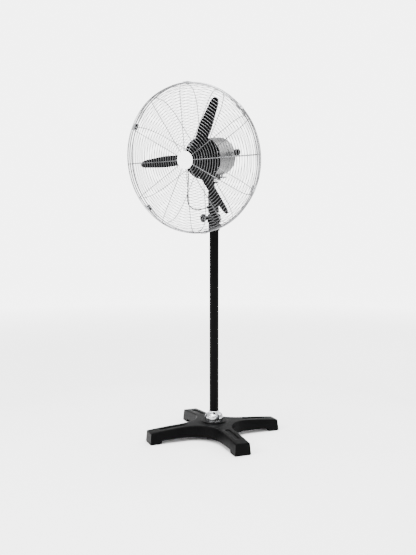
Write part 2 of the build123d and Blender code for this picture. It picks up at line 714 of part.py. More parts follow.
with BuildPart() as clutch_rod:
    with BuildSketch(side_plane(1).offset(32)):
        with Locations((-CLUTCH_STATION, CLUTCH_RISE)):
            Circle(4)
    extrude(amount=100)
save(clutch_rod, "clutch_rod")

KNOB_SEAT = 118.0
with BuildPart() as clutch_knob:
    with BuildSketch(side_plane(1).offset(KNOB_SEAT)):
        with Locations((-CLUTCH_STATION, CLUTCH_RISE)):
            Circle(18.5)
    extrude(amount=26, taper=5)
    fillet(clutch_knob.faces().sort_by(Axis.X)[-1].edges(), 4)
    chamfer(clutch_knob.faces().sort_by(Axis.X)[0].edges(), 2)
    with BuildSketch(side_plane(1).offset(KNOB_SEAT - 4)):
        with Locations((-CLUTCH_STATION, CLUTCH_RISE)):
            Circle(8)
    extrude(amount=5)
    with BuildSketch(side_plane(1).offset(KNOB_SEAT - 8)):
        with Locations((-CLUTCH_STATION, CLUTCH_RISE)):
            Circle(4)
    extrude(amount=22, mode=Mode.SUBTRACT)
save(clutch_knob, "clutch_knob")

with BuildPart() as speed_switch:
    with BuildSketch(FACE.offset(COVER_REAR + 2.2)):
        with Locations((SWITCH_X, 0)):
            RectangleRounded(36, 40, 3)
    extrude(amount=24)
    with BuildSketch(FACE.offset(COVER_REAR + 2.2)):
        with Locations((SWITCH_X, 0)):
            Circle(3)
    extrude(amount=-13)
save(speed_switch, "speed_switch")

with BuildPart() as speed_knob:
    with BuildSketch(FACE.offset(COVER_REAR - 1)):
        with Locations((SWITCH_X, 0)):
            Circle(19)
    extrude(amount=-8)
    with BuildSketch(FACE.offset(COVER_REAR - 9)):
        with Locations((SWITCH_X, 0)):
            SlotOverall(34, 11, rotation=90)
    extrude(amount=-11, taper=4)
    with BuildSketch(FACE.offset(COVER_REAR - 1)):
        with Locations((SWITCH_X, 0)):
            Circle(3 + FIT)
    extrude(amount=-11, mode=Mode.SUBTRACT)
save(speed_knob, "speed_knob")

with BuildPart() as run_capacitor:
    with BuildSketch(FACE.offset(SHELL_REAR - 8)):
        with Locations((-10, 66)):
            Circle(19)
    extrude(amount=-56)
    fillet(run_capacitor.edges().filter_by(GeomType.CIRCLE), 2)
save(run_capacitor, "run_capacitor")

# ================================================================ motor lead
GLAND_STATION = -187.0
GLAND_REACH = 7.4        # mouth of the gland, out from the drum
gland_plane = side_plane(-1)
with BuildPart() as lead_gland:
    with BuildSketch(gland_plane.offset(DRUM_RADIUS - 1.5)):
        with Locations((GLAND_STATION, 0)):
            RegularPolygon(11, 6)
    extrude(amount=6)
    with BuildSketch(gland_plane.offset(DRUM_RADIUS + 4.4)):
        with Locations((GLAND_STATION, 0)):
            Circle(8.5)
    extrude(amount=GLAND_REACH - 4.4, taper=12)
save(lead_gland, "lead_gland")

GLAND_MOUTH = RIM_CENTRE + FORWARD * GLAND_STATION + Vector(-DRUM_RADIUS - GLAND_REACH, 0, 0)
LEAD_ROUTE = [
    (GLAND_MOUTH.X, GLAND_MOUTH.Y, GLAND_MOUTH.Z),
    (-145, -60, 1569),
    (-134.5, -60, 1505),
    (-131.5, -60, 1455),
    (-135, -61, 1405),
    (-138, -62, 1350),
    (-132, -60, 1312),
    (-113, -51, 1293),
    (-87, -38.5, 1285),
    (-61, -24, 1289),
    (-43, -11, 1298.5),
]
END_SHARE = 0.9          # of a run that an arc may take at an end of the lead
INNER_SHARE = 0.45       # and of a run that it shares with the next arc


def bend_radii(points):
    """For each corner of a route, the largest arc that its two runs leave room for."""
    radii = []
    for before, here, after in zip(points, points[1:], points[2:]):
        run_in, run_out = Vector(*here) - Vector(*before), Vector(*after) - Vector(*here)
        room_in = run_in.length * (END_SHARE if before == points[0] else INNER_SHARE)
        room_out = run_out.length * (END_SHARE if after == points[-1] else INNER_SHARE)
        radii.append(min(room_in, room_out) / tan(radians(run_in.get_angle(run_out)) / 2))
    return radii


LEAD_RADII = bend_radii(LEAD_ROUTE)
with BuildPart() as motor_lead:
    with BuildLine() as lead_line:
        FilletPolyline(*LEAD_ROUTE, radius=LEAD_RADII)
    lead_path = lead_line.wires()[0]
    with BuildSketch(Plane(origin=lead_path @ 0, z_dir=lead_path % 0)):
        Circle(LEAD_RADIUS)
    sweep(path=lead_path)
save(motor_lead, "motor_lead")

with BuildPart() as neck_gland:
    with BuildSketch(Plane(origin=NECK.from_local_coords((-30, 0, 60)), x_dir=(0, 1, 0), z_dir=(-1, 0, 0))):
        Circle(7.5)
    extrude(amount=10, taper=6)
save(neck_gland, "neck_gland")

# ================================================================ guard
with BuildPart() as guard_ring:
    with BuildSketch(FACE.offset(BELL_FRONT - 4)):
        Circle(114.5)
        Circle(99.2, mode=Mode.SUBTRACT)
    extrude(amount=2.5)
save(guard_ring, "guard_ring")

with BuildPart() as guard_screws:
    with BuildSketch(FACE.offset(BELL_FRONT - 1.5)):
        with PolarLocations(104.5, 6, start_angle=15):
            Circle(4)
    extrude(amount=2.6)
    with BuildSketch(FACE.offset(BELL_FRONT - 1.5)):
        with PolarLocations(104.5, 6, start_angle=15):
            Circle(2)
    extrude(amount=-7)
save(guard_screws, "guard_screws")

# each half of the guard is a dished skin of hoops; its section as (station, radius) corners
FRONT_SKIN = ((64.5, 44), (61, 342), (48, 386), (RIM_HALF_GAP, RIM_RADIUS))
REAR_SKIN = ((-112.5, 110), (-110, 288), (-80, 373), (-RIM_HALF_GAP, RIM_RADIUS))
FRONT_BENDS = (150, 26)
REAR_BENDS = (150, 60)


def skin_line(corners, bends):
    """The half guard's section, from hub to rim, on the plane straight up from the motor axis."""
    with BuildLine(SIDE) as line:
        FilletPolyline(*corners, radius=list(bends))
    return line.wires()[0]


def hoops(name, corners, bends, first):
    """Concentric wire hoops at an even pitch along the section, from a first distance.

    The wire is drawn with eight sides, which is as round as a wire this thin needs.
    """
    path = skin_line(corners, bends)
    count = int((path.length - first - 0.6 * HOOP_PITCH) / HOOP_PITCH) + 1
    with BuildPart() as group:
        for index in range(count):
            point = SIDE.to_local_coords(path.position_at(
                first + index * HOOP_PITCH, position_mode=PositionMode.LENGTH))
            with BuildSketch(SIDE):
                with Locations((point.X, point.Y)):
                    RegularPolygon(HOOP_WIRE, 8)
            revolve(axis=SPIN)
    save(group, name)


def ribs(name, corners, bends, inset):
    """Radial wires inside the hoops, each bent to the section and set in by the two wires."""
    (s0, r0), (s1, r1), (s2, r2), (s3, r3) = corners
    side = 1 if s0 > 0 else -1
    inner = (
        (s0 - side * inset, r0 - 6), (s1 - side * inset, r1 - 1), (s2 - side, r2 - inset), (s3, r3 - inset),
    )
    with BuildPart() as group:
        for index in range(RIB_COUNT):
            plane = radial_plane(index * 360 / RIB_COUNT)
            with BuildLine(plane) as line:
                FilletPolyline(*inner, radius=list(bends))
            path = line.wires()[0]
            with BuildSketch(Plane(origin=path @ 0, z_dir=path % 0)):
                Circle(RIB_WIRE)
            sweep(path=path)
    save(group, name)


hoops("front_hoops", FRONT_SKIN, FRONT_BENDS, 16)
hoops("rear_hoops", REAR_SKIN, REAR_BENDS, 14)
ribs("front_ribs", FRONT_SKIN, FRONT_BENDS, HOOP_WIRE + RIB_WIRE - 0.2)
ribs("rear_ribs", REAR_SKIN, REAR_BENDS, HOOP_WIRE + RIB_WIRE - 0.2)

for rim_name, station in (("front_rim", RIM_HALF_GAP), ("rear_rim", -RIM_HALF_GAP)):
    with BuildPart() as rim:
        with Locations(FACE.offset(station)):
            Torus(RIM_RADIUS, RIM_WIRE)
    save(rim, rim_name)

turned("hub_plate", SIDE, SPIN, [(58, 0), (58, 43), (60.2, 43), (60.2, 0)])
BADGE_BACK = 63.6
with BuildPart() as badge:
    with BuildSketch(FACE.offset(BADGE_BACK)):
        Circle(BADGE_RADIUS)
    extrude(amount=5)
    fillet(badge.edges().filter_by(GeomType.CIRCLE).sort_by(SPIN)[-1], 3.5)
save(badge, "badge")

CLIP_OUTER = RIM_RADIUS + 6
CLIP_SIDE = RIM_HALF_GAP + 6
CLIP_GAUGE = 1.6
with BuildPart() as rim_clips:
    for turn in CLIP_TURNS:
        with BuildSketch(radial_plane(turn - CLIP_ARC / 2)):
            with BuildLine():
                Polyline(
                    (-CLIP_SIDE, RIM_RADIUS - 6), (-CLIP_SIDE, CLIP_OUTER), (CLIP_SIDE, CLIP_OUTER),
                    (CLIP_SIDE, RIM_RADIUS - 6), (CLIP_SIDE - CLIP_GAUGE, RIM_RADIUS - 6),
                    (CLIP_SIDE - CLIP_GAUGE, CLIP_OUTER - CLIP_GAUGE),
                    (CLIP_GAUGE - CLIP_SIDE, CLIP_OUTER - CLIP_GAUGE),
                    (CLIP_GAUGE - CLIP_SIDE, RIM_RADIUS - 6),
                    close=True,
                )
            make_face()
        revolve(axis=SPIN, revolution_arc=CLIP_ARC)
save(rim_clips, "rim_clips")

with BuildPart() as clip_screws:
    for turn in CLIP_TURNS:
        spoke = FACE.x_dir * cos(radians(turn)) + FACE.y_dir * sin(radians(turn))
        screw_plane = Plane(origin=RIM_CENTRE + spoke * CLIP_OUTER, x_dir=FORWARD, z_dir=spoke)
        with BuildSketch(screw_plane):
            Circle(4.5)
        extrude(amount=3, taper=15)
        with BuildSketch(screw_plane):
            Circle(2)
        extrude(amount=-12)
        with BuildSketch(screw_plane.offset(-CLIP_GAUGE)):
            RegularPolygon(4, 6)
        extrude(amount=-4)
save(clip_screws, "clip_screws")

# ================================================================ blades
HUB_FRONT = -6.0
HUB_REAR = -58.0


def blade_plane(turn):
    """Plane of a blade: x out along it, y across its pitched chord, z off its front face."""
    spoke = FACE.x_dir * cos(radians(turn)) + FACE.y_dir * sin(radians(turn))
    ahead = FORWARD.cross(spoke)
    normal = FORWARD * cos(radians(BLADE_PITCH)) - ahead * sin(radians(BLADE_PITCH))
    return Plane(origin=RIM_CENTRE + FORWARD * BLADE_STATION, x_dir=spoke, z_dir=normal)


BLADE_TURNS = [BLADE_FIRST_TURN + 120 * index for index in range(3)]
RIVET_PLACES = ((60, 0), (78, 9), (78, -9))
CAMBER_RADIUS = 150.0
IRON_GAUGE = 5.0

with BuildPart() as blade_hub:
    with BuildSketch(SIDE):
        with BuildLine():
            Polyline(
                (HUB_REAR, SHAFT_RADIUS), (HUB_REAR, 22), (HUB_REAR + 10, 32), (HUB_FRONT - 12, 32),
                (HUB_FRONT, 22), (HUB_FRONT, SHAFT_RADIUS), close=True,
            )
        make_face()
    revolve(axis=SPIN)
    for turn in BLADE_TURNS:
        with BuildSketch(blade_plane(turn)):
            with Locations((58, 0)):
                RectangleRounded(72, 36, 8)
        extrude(amount=-IRON_GAUGE)
    with BuildSketch(FACE.offset(HUB_REAR)):
        Circle(SHAFT_RADIUS)
    extrude(amount=HUB_FRONT - HUB_REAR, mode=Mode.SUBTRACT)
save(blade_hub, "blade_hub")

for number, turn in enumerate(BLADE_TURNS, start=1):
    across = blade_plane(turn)
    with BuildPart() as blade:
        with BuildSketch(across.offset(-16)):
            with BuildLine() as outline:
                edge = Spline(
                    (46, 26), (110, 31), (190, 33), (280, 26), (BLADE_TIP, 0), tangents=((1, 0.1), (0, -1)),
                )
                mirror(edge, about=Plane.XZ)
                Line((46, 26), (46, -26))
            make_face()
        extrude(amount=32)
        # the plate is bent about a line along the blade, hollow side forwards
        with BuildSketch(Plane(
            origin=across.origin + across.x_dir * 30, x_dir=across.y_dir, z_dir=across.x_dir,
        )):
            with Locations((0, CAMBER_RADIUS)):
                Circle(CAMBER_RADIUS)
                Circle(CAMBER_RADIUS - BLADE_GAUGE, mode=Mode.SUBTRACT)
            with Locations((0, 3 * CAMBER_RADIUS / 2)):
                Rectangle(4 * CAMBER_RADIUS, CAMBER_RADIUS * 2, mode=Mode.SUBTRACT)
        extrude(amount=330, mode=Mode.INTERSECT)
    save(blade, f"blade_{number}")

with BuildPart() as blade_rivets:
    for turn in BLADE_TURNS:
        across = blade_plane(turn)
        with BuildSketch(across.offset(-IRON_GAUGE - 1.5)):
            with Locations(*RIVET_PLACES):
                Circle(3)
        extrude(amount=BLADE_GAUGE + IRON_GAUGE + 1.5)
        with BuildSketch(across.offset(BLADE_GAUGE - 0.1)):
            with Locations(*RIVET_PLACES):
                Circle(5)
        extrude(amount=2, taper=25)
save(blade_rivets, "blade_rivets")

with BuildPart() as hub_nut:
    with BuildSketch(FACE.offset(HUB_FRONT)):
        RegularPolygon(15, 6)
        Circle(SHAFT_RADIUS, mode=Mode.SUBTRACT)
    extrude(amount=10)
save(hub_nut, "hub_nut")
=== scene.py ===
"""Tall industrial pedestal fan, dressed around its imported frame.

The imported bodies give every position. Each sub-assembly below is a class that builds its own
surfaces from arrays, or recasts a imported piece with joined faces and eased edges, and dresses them.
"""

import json
import logging
from dataclasses import dataclass, field
from enum import Enum
from math import cos, pi, radians, sin, tau
from typing import Callable, Mapping, Optional, Sequence, Union

import bmesh
import bpy
import numpy as np
from mathutils import Matrix, Vector


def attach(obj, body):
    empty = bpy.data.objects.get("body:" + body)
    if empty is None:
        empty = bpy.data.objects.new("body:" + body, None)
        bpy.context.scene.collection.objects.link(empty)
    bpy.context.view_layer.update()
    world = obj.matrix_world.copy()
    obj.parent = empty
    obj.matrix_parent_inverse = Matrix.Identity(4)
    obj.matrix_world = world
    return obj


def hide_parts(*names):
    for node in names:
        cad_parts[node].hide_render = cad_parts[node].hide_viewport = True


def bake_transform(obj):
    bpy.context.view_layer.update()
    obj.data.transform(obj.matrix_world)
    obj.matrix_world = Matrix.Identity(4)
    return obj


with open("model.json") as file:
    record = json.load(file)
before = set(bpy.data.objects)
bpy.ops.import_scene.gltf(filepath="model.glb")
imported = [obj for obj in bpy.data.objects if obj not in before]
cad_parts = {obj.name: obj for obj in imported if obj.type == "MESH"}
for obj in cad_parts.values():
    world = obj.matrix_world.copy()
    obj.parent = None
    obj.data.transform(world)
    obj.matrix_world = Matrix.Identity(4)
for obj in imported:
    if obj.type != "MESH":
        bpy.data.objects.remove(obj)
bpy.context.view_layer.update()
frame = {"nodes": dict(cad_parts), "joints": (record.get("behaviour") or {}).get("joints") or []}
log = logging.getLogger("pedestal_fan")

MM = 0.001
JOIN_REACH = 2e-6        # points nearer than this become one, in metres
EASED_ANGLE = 32.0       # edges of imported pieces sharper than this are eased, in degrees
FLAT_ANGLE = 0.4         # and neighbours flatter than this become one face
Colour = tuple[float, float, float]
Lamp = tuple[str, tuple[float, float, float], tuple[float, float, float], float, float]


class Body(str, Enum):
    """The moving bodies of the fan."""

    STAND = "stand"
    TILT_KNOB = "tilt_knob"
    NECK = "neck"
    LINK = "link"
    HEAD = "head"
    ROTOR = "rotor"
    CRANK = "crank"
    CLUTCH = "clutch"
    SPEED_KNOB = "speed_knob"


class Pattern(Enum):
    """How a finish varies over a surface."""

    CAST = "sand-cast grain under enamel"
    PEEL = "sprayed enamel with orange peel"
    DRAWN = "bright wire or rod with faint die marks"
    POLISHED = "buffed and plated casting"
    MACHINED = "turned or headed steel"
    MOULDED = "moulded plastic or rubber with a fine spark texture"
    STACKED = "stamped sheets pressed into a stack"
    WOUND = "layers of round wire"


# ------------------------------------------------------------------------------ shader maths
Value = Union[float, Sequence[float], "Term"]


def operator(operation: str, reflected: bool = False) -> Callable[["Term", Value], "Term"]:
    """A method of Term that adds one Math node; reflected, the other value comes first."""
    def method(term: "Term", other: Value) -> "Term":
        """The result of the Math node."""
        first, second = (other, term) if reflected else (term, other)
        return term.bench.node("ShaderNodeMath", {"operation": operation}, {0: first, 1: second})
    return method


class Term:
    """A shader socket that takes part in arithmetic."""

    __add__, __radd__ = operator("ADD"), operator("ADD", True)
    __sub__, __rsub__ = operator("SUBTRACT"), operator("SUBTRACT", True)
    __mul__, __rmul__ = operator("MULTIPLY"), operator("MULTIPLY", True)

    def __init__(self, bench: "Bench", socket: bpy.types.NodeSocket) -> None:
        """Keep the socket and the bench it stands on."""
        self.bench = bench
        self.socket = socket

    def ramp(self, low: float, high: float) -> "Term":
        """The value taken from low..high to 0..1 and held there."""
        return self.bench.node(
            "ShaderNodeMapRange", {"clamp": True},
            {"Value": self, "From Min": low, "From Max": high, "To Min": 0.0, "To Max": 1.0},
        )


class Bench:
    """The node tree of one material, with one way to add any node."""

    def __init__(self, name: str) -> None:
        """Start an empty tree with a Principled surface.

        Args:
            name: the material's name.
        """
        self.material = bpy.data.materials.new(name)
        self.material.use_nodes = True
        self.tree = self.material.node_tree
        self.tree.nodes.clear()
        self.surface = self.tree.nodes.new("ShaderNodeBsdfPrincipled")
        output = self.tree.nodes.new("ShaderNodeOutputMaterial")
        self.tree.links.new(self.surface.outputs[0], output.inputs["Surface"])
        self.place = Term(self, self.tree.nodes.new("ShaderNodeTexCoord").outputs["Object"])

    def node(self, kind: str, settings: Mapping[str, object], inputs: Mapping[Union[str, int], Value],
             output: Union[str, int] = 0) -> Term:
        """Add a node: its settings first, then its sockets.

        Args:
            kind: Blender's type name.
            settings: attributes of the node, set before anything is linked.
            inputs: a value or a Term for each socket named.
            output: the socket that is returned.

        Returns:
            The output as a Term.
        """
        made = self.tree.nodes.new(kind)
        for key, value in settings.items():
            setattr(made, key, value)
        for key, value in inputs.items():
            self.feed(made.inputs[key], value)
        return Term(self, made.outputs[output])

    def feed(self, socket: bpy.types.NodeSocket, value: Value) -> None:
        """Link a Term to a socket, or set its value."""
        if isinstance(value, Term):
            self.tree.links.new(value.socket, socket)
        else:
            socket.default_value = value

    def noise(self, scale: float, detail: float = 3.0, stretch: Sequence[float] = (1, 1, 1)) -> Term:
        """Noise of that many features per metre, drawn out by the stretch factors."""
        spot = self.node("ShaderNodeMapping", {}, {"Vector": self.place, "Scale": tuple(stretch)})
        return self.node("ShaderNodeTexNoise", {}, {"Vector": spot, "Scale": scale, "Detail": detail})

    def tint(self, mask: Term, low: Colour, high: Colour) -> Term:
        """A colour between low and high by the mask."""
        return self.node(
            "ShaderNodeMix", {"data_type": "RGBA"},
            {"Factor": mask, 6: (*low, 1.0), 7: (*high, 1.0)}, output=2,
        )

    def relief(self, height: Term, depth: float) -> Term:
        """A normal that follows a height field of that depth in metres."""
        return self.node("ShaderNodeBump", {}, {"Height": height, "Strength": 1.0, "Distance": depth})

    def dress(self, **sockets: Value) -> bpy.types.Material:
        """Feed the surface's sockets, named with underscores, and return the material."""
        for key, value in sockets.items():
            self.feed(self.surface.inputs[key.replace("_", " ").title().replace("Ior", "IOR")], value)
        return self.material


@dataclass(frozen=True)
class Finish:
    """One real finish: its colour, how rough it is, and what its surface shows close up."""

    name: str
    pattern: Pattern
    colour: Colour
    shade: Colour
    rough: tuple[float, float]
    metallic: float = 0.0
    coat: float = 0.0
    coat_rough: float = 0.1
    gloss: float = 0.5
    grain: float = 900.0
    depth: float = 0.00012
    along: tuple[float, float, float] = (1.0, 1.0, 1.0)

    def material(self) -> bpy.types.Material:
        """The Blender material, made once.

        Returns:
            The material whose name is the finish's name.
        """
        known = bpy.data.materials.get(self.name)
        return known if known else self._make()

    def _make(self) -> bpy.types.Material:
        """Build the material from broad drift, fine grain and small marks, by the pattern."""
        bench = Bench(self.name)
        drift = bench.noise(7.0, 4.0).ramp(0.35, 0.68)
        grain = bench.noise(self.grain, 2.0, self.along)
        height: Term = grain
        blend = drift
        wear = drift
        if self.pattern is Pattern.CAST:
            coarse = bench.noise(self.grain * 0.28, 3.0)
            height = grain * 0.45 + coarse * 0.9
            dust = bench.noise(60.0, 5.0).ramp(0.48, 0.72)
            blend = drift * 0.5 + dust * 0.5
            wear = coarse.ramp(0.3, 0.7)
        elif self.pattern is Pattern.PEEL:
            fleck = bench.noise(self.grain * 3.0, 1.0).ramp(0.62, 0.7)
            blend = drift * 0.85 + fleck * 0.15
            wear = drift * 0.6 + grain * 0.4
        elif self.pattern is Pattern.DRAWN:
            marks = bench.noise(140.0, 4.0).ramp(0.45, 0.75)
            blend = marks * 0.6 + drift * 0.4
            wear = marks
        elif self.pattern is Pattern.POLISHED:
            # Here the blend stays the broad drift. For the plated collar this swings the colour between
            # bright and dark chrome: painted highlight patches and painted dark reflection patches.
            swirl = bench.node("ShaderNodeTexWave", {"wave_type": "RINGS", "rings_direction": "Z"}, {
                "Vector": bench.place, "Scale": 90.0, "Distortion": 9.0, "Detail": 3.0, "Detail Scale": 2.0})
            height = grain * 0.6 + swirl * 0.4
            wear = swirl.ramp(0.2, 0.95)
        elif self.pattern is Pattern.MACHINED:
            tool = bench.node("ShaderNodeTexWave", {"wave_type": "BANDS", "bands_direction": "DIAGONAL"}, {
                "Vector": bench.place, "Scale": 700.0, "Distortion": 2.0, "Detail": 2.0})
            height = tool * 0.5 + grain * 0.5
            wear = tool * 0.4 + drift * 0.6
        elif self.pattern is Pattern.MOULDED:
            pits = bench.node("ShaderNodeTexVoronoi", {"feature": "F1"}, {
                "Vector": bench.place, "Scale": self.grain * 1.6}).ramp(0.0, 0.7)
            height = pits * 0.6 + grain * 0.4
            blend = drift * 0.6 + pits * 0.4
        elif self.pattern is Pattern.STACKED:
            sheets = bench.node("ShaderNodeTexWave", {"wave_type": "BANDS", "bands_direction": "Y"}, {
                "Vector": bench.place, "Scale": 320.0, "Distortion": 0.2})
            height = sheets * 0.8 + grain * 0.2
            blend = sheets
        elif self.pattern is Pattern.WOUND:
            turns = bench.node("ShaderNodeTexWave", {"wave_type": "RINGS", "rings_direction": "Y"}, {
                "Vector": bench.place, "Scale": 260.0, "Distortion": 0.6})
            height = turns
            blend = turns * 0.7 + drift * 0.3
        smooth, dull = self.rough
        return bench.dress(
            base_color=bench.tint(blend, self.colour, self.shade),
            roughness=smooth + (dull - smooth) * wear,
            metallic=self.metallic,
            coat_weight=self.coat,
            coat_roughness=self.coat_rough,
            specular_ior_level=self.gloss,
            normal=bench.relief(height, self.depth),
        )


CAST_BLACK = Finish("cast_black_enamel", Pattern.CAST, (0.0008, 0.0008, 0.0009), (0.002, 0.002, 0.0021),
                    (0.36, 0.5), grain=620.0, depth=0.00022, gloss=0.03)
BRACKET_BLACK = Finish("bracket_black_enamel", Pattern.CAST, (0.0013, 0.0013, 0.0014),
                       (0.0032, 0.0032, 0.0033),
                       (0.38, 0.52), grain=900.0, depth=0.00014, gloss=0.03)
POLE_BLACK = Finish("pole_black_enamel", Pattern.PEEL, (0.0005, 0.0005, 0.0006), (0.0012, 0.0012, 0.0013),
                    (0.26, 0.38), grain=420.0, depth=4e-06, gloss=0.03)
BLADE_BLACK = Finish("blade_powder_coat", Pattern.PEEL, (0.0006, 0.0006, 0.0007), (0.0016, 0.0016, 0.0017),
                     (0.42, 0.56), grain=780.0, depth=0.0001, gloss=0.02)
MOTOR_GREY = Finish("motor_grey_enamel", Pattern.PEEL, (0.012, 0.012, 0.0125), (0.02, 0.02, 0.0205),
                    (0.3, 0.44), coat=0.02, grain=900.0, depth=0.00003)
MOTOR_BLACK = Finish("motor_black_enamel", Pattern.PEEL, (0.0013, 0.0013, 0.0014), (0.004, 0.004, 0.0041),
                     (0.34, 0.5), coat=0.0, grain=900.0, depth=0.0001, gloss=0.03)
WIRE_BRIGHT = Finish("bright_wire", Pattern.DRAWN, (0.12, 0.121, 0.125), (0.05, 0.051, 0.052),
                     (0.16, 0.3), metallic=1.0, grain=1500.0, depth=0.00002, along=(1, 0.3, 1))
RIM_BRIGHT = Finish("bright_rim", Pattern.DRAWN, (0.2, 0.202, 0.207), (0.09, 0.091, 0.094),
                    (0.12, 0.24), metallic=1.0, grain=1200.0, depth=0.00002)
# Plated collar: colour and shade are far apart, so the broad drift paints bright highlight patches and dark
# reflection patches into the chrome's colour (painted reflections).
COLLAR_CHROME_PAINTED_REFLECTIONS = Finish("plated_casting_painted_reflections", Pattern.POLISHED, (0.62, 0.625, 0.64), (0.12, 0.123, 0.128),
                       (0.08, 0.2), metallic=1.0, grain=160.0, depth=0.0003)
CLIP_BRIGHT = Finish("bright_strip", Pattern.DRAWN, (0.24, 0.243, 0.25), (0.14, 0.14, 0.145),
                     (0.18, 0.32), metallic=1.0, grain=1100.0, depth=0.00003)
STEEL_PLATED = Finish("zinc_plate", Pattern.MACHINED, (0.4, 0.405, 0.42), (0.26, 0.26, 0.27),
                      (0.24, 0.42), metallic=1.0, grain=2000.0, depth=0.00003)
STEEL_DARK = Finish("black_oxide", Pattern.MACHINED, (0.018, 0.018, 0.019), (0.035, 0.034, 0.033),
                    (0.35, 0.5), metallic=0.85, grain=2000.0, depth=0.00004)
PLASTIC_BLACK = Finish("moulded_black", Pattern.MOULDED, (0.0008, 0.0008, 0.0009), (0.002, 0.002, 0.0021),
                       (0.38, 0.52), grain=1400.0, depth=0.00005, gloss=0.015)
PLASTIC_WHITE = Finish("moulded_white", Pattern.MOULDED, (0.82, 0.82, 0.8), (0.7, 0.7, 0.68),
                       (0.3, 0.42), grain=1400.0, depth=0.00003)
RUBBER_BLACK = Finish("pad_rubber", Pattern.MOULDED, (0.0022, 0.0022, 0.0023), (0.0045, 0.0045, 0.0046),
                      (0.62, 0.8), grain=1100.0, depth=0.00012, gloss=0.06)
LEAD_BLACK = Finish("lead_sheath", Pattern.MOULDED, (0.0006, 0.0006, 0.0006), (0.0014, 0.0014, 0.0014),
                    (0.42, 0.56), grain=1900.0, depth=0.00004, gloss=0.01)
BADGE_WHITE = Finish("badge_white_gloss", Pattern.PEEL, (0.96, 0.962, 0.965), (0.93, 0.933, 0.937),
                     (0.18, 0.28), coat=0.6, coat_rough=0.05, grain=260.0, depth=0.00003)
LAMINATION = Finish("electrical_steel", Pattern.STACKED, (0.3, 0.3, 0.31), (0.16, 0.16, 0.17),
                    (0.35, 0.5), metallic=1.0, grain=1500.0, depth=0.0002)
COPPER = Finish("enamelled_copper", Pattern.WOUND, (0.58, 0.24, 0.1), (0.36, 0.13, 0.05),
                (0.25, 0.4), metallic=1.0, grain=900.0, depth=0.0006)
BRONZE = Finish("sintered_bronze", Pattern.MACHINED, (0.5, 0.33, 0.14), (0.38, 0.24, 0.1),
                (0.35, 0.5), metallic=1.0, grain=1800.0, depth=0.00005)
ZINC_CASTING = Finish("zinc_die_casting", Pattern.CAST, (0.42, 0.43, 0.44), (0.3, 0.3, 0.31),
                      (0.38, 0.55), metallic=0.9, grain=900.0, depth=0.0001)
NYLON = Finish("moulded_nylon", Pattern.MOULDED, (0.75, 0.72, 0.62), (0.66, 0.62, 0.52),
               (0.4, 0.5), grain=1300.0, depth=0.00003)


# ------------------------------------------------------------------------------ surfaces
@dataclass(frozen=True)
class Axes:
    """An origin and three directions in the row frame."""

    origin: np.ndarray
    x: np.ndarray
    y: np.ndarray
    z: np.ndarray

    @classmethod
    def about(cls, joint: str) -> "Axes":
        """Axes at a joint: x across the fan, z along the joint's axis, y completing them."""
        found = next(entry for entry in frame["joints"] if entry["name"] == joint)
        along = np.array(found["axis"], float)
        across = np.array([1.0, 0.0, 0.0])
        return cls(np.array(found["pos_m"], float), across, np.cross(along, across), along)

    def place(self, x: np.ndarray, y: np.ndarray, z: np.ndarray) -> np.ndarray:
        """Row-frame points for local coordinates of any one shape."""
        x, y, z = np.broadcast_arrays(x, y, z)
        return self.origin + x[..., None] * self.x + y[..., None] * self.y + z[..., None] * self.z


def rounded(corners: Sequence[tuple[float, float]], radii: Union[float, Sequence[float]],
            arc_points: int = 6) -> np.ndarray:
    """An open line through corners, each inner one rounded by an arc.

    The arc at a corner starts radius / tan(half the inner angle) before it; its points are the
    corner's two tangent points blended along a quadratic, which stays within a hair of the circle.

    Args:
        corners: the points, in the units wanted back.
        radii: one radius, or one for each inner corner.
        arc_points: points on each arc.

    Returns:
        The points, shape (n, 2).
    """
    spots = np.array(corners, float)
    sizes = np.broadcast_to(np.array(radii, float), (len(spots) - 2,))
    runs = np.diff(spots, axis=0)
    lengths = np.linalg.norm(runs, axis=1)
    line = [spots[:1]]
    for index, size in enumerate(sizes):
        inward, outward = runs[index] / lengths[index], runs[index + 1] / lengths[index + 1]
        turn = np.arccos(np.clip(inward @ outward, -1.0, 1.0))
        back = min(size * np.tan(turn / 2), 0.49 * lengths[index], 0.49 * lengths[index + 1])
        if back <= 0.0:
            line.append(spots[index + 1][None])
            continue
        start, end = spots[index + 1] - inward * back, spots[index + 1] + outward * back
        t = np.linspace(0.0, 1.0, arc_points)[:, None]
        weight = np.cos(turn / 2)
        arc = (start * (1 - t) ** 2 + 2 * weight * spots[index + 1] * t * (1 - t) + end * t ** 2)
        line.append(arc / ((1 - t) ** 2 + 2 * weight * t * (1 - t) + t ** 2))
    line.append(spots[-1:])
    return np.concatenate(line)


def spread(line: np.ndarray, count: int) -> np.ndarray:
    """The same line with count points evenly spaced along it."""
    length = np.concatenate([[0.0], np.cumsum(np.linalg.norm(np.diff(line, axis=0), axis=1))])
    at = np.linspace(0.0, length[-1], count)
    return np.stack([np.interp(at, length, line[:, axis]) for axis in range(line.shape[1])], axis=1)


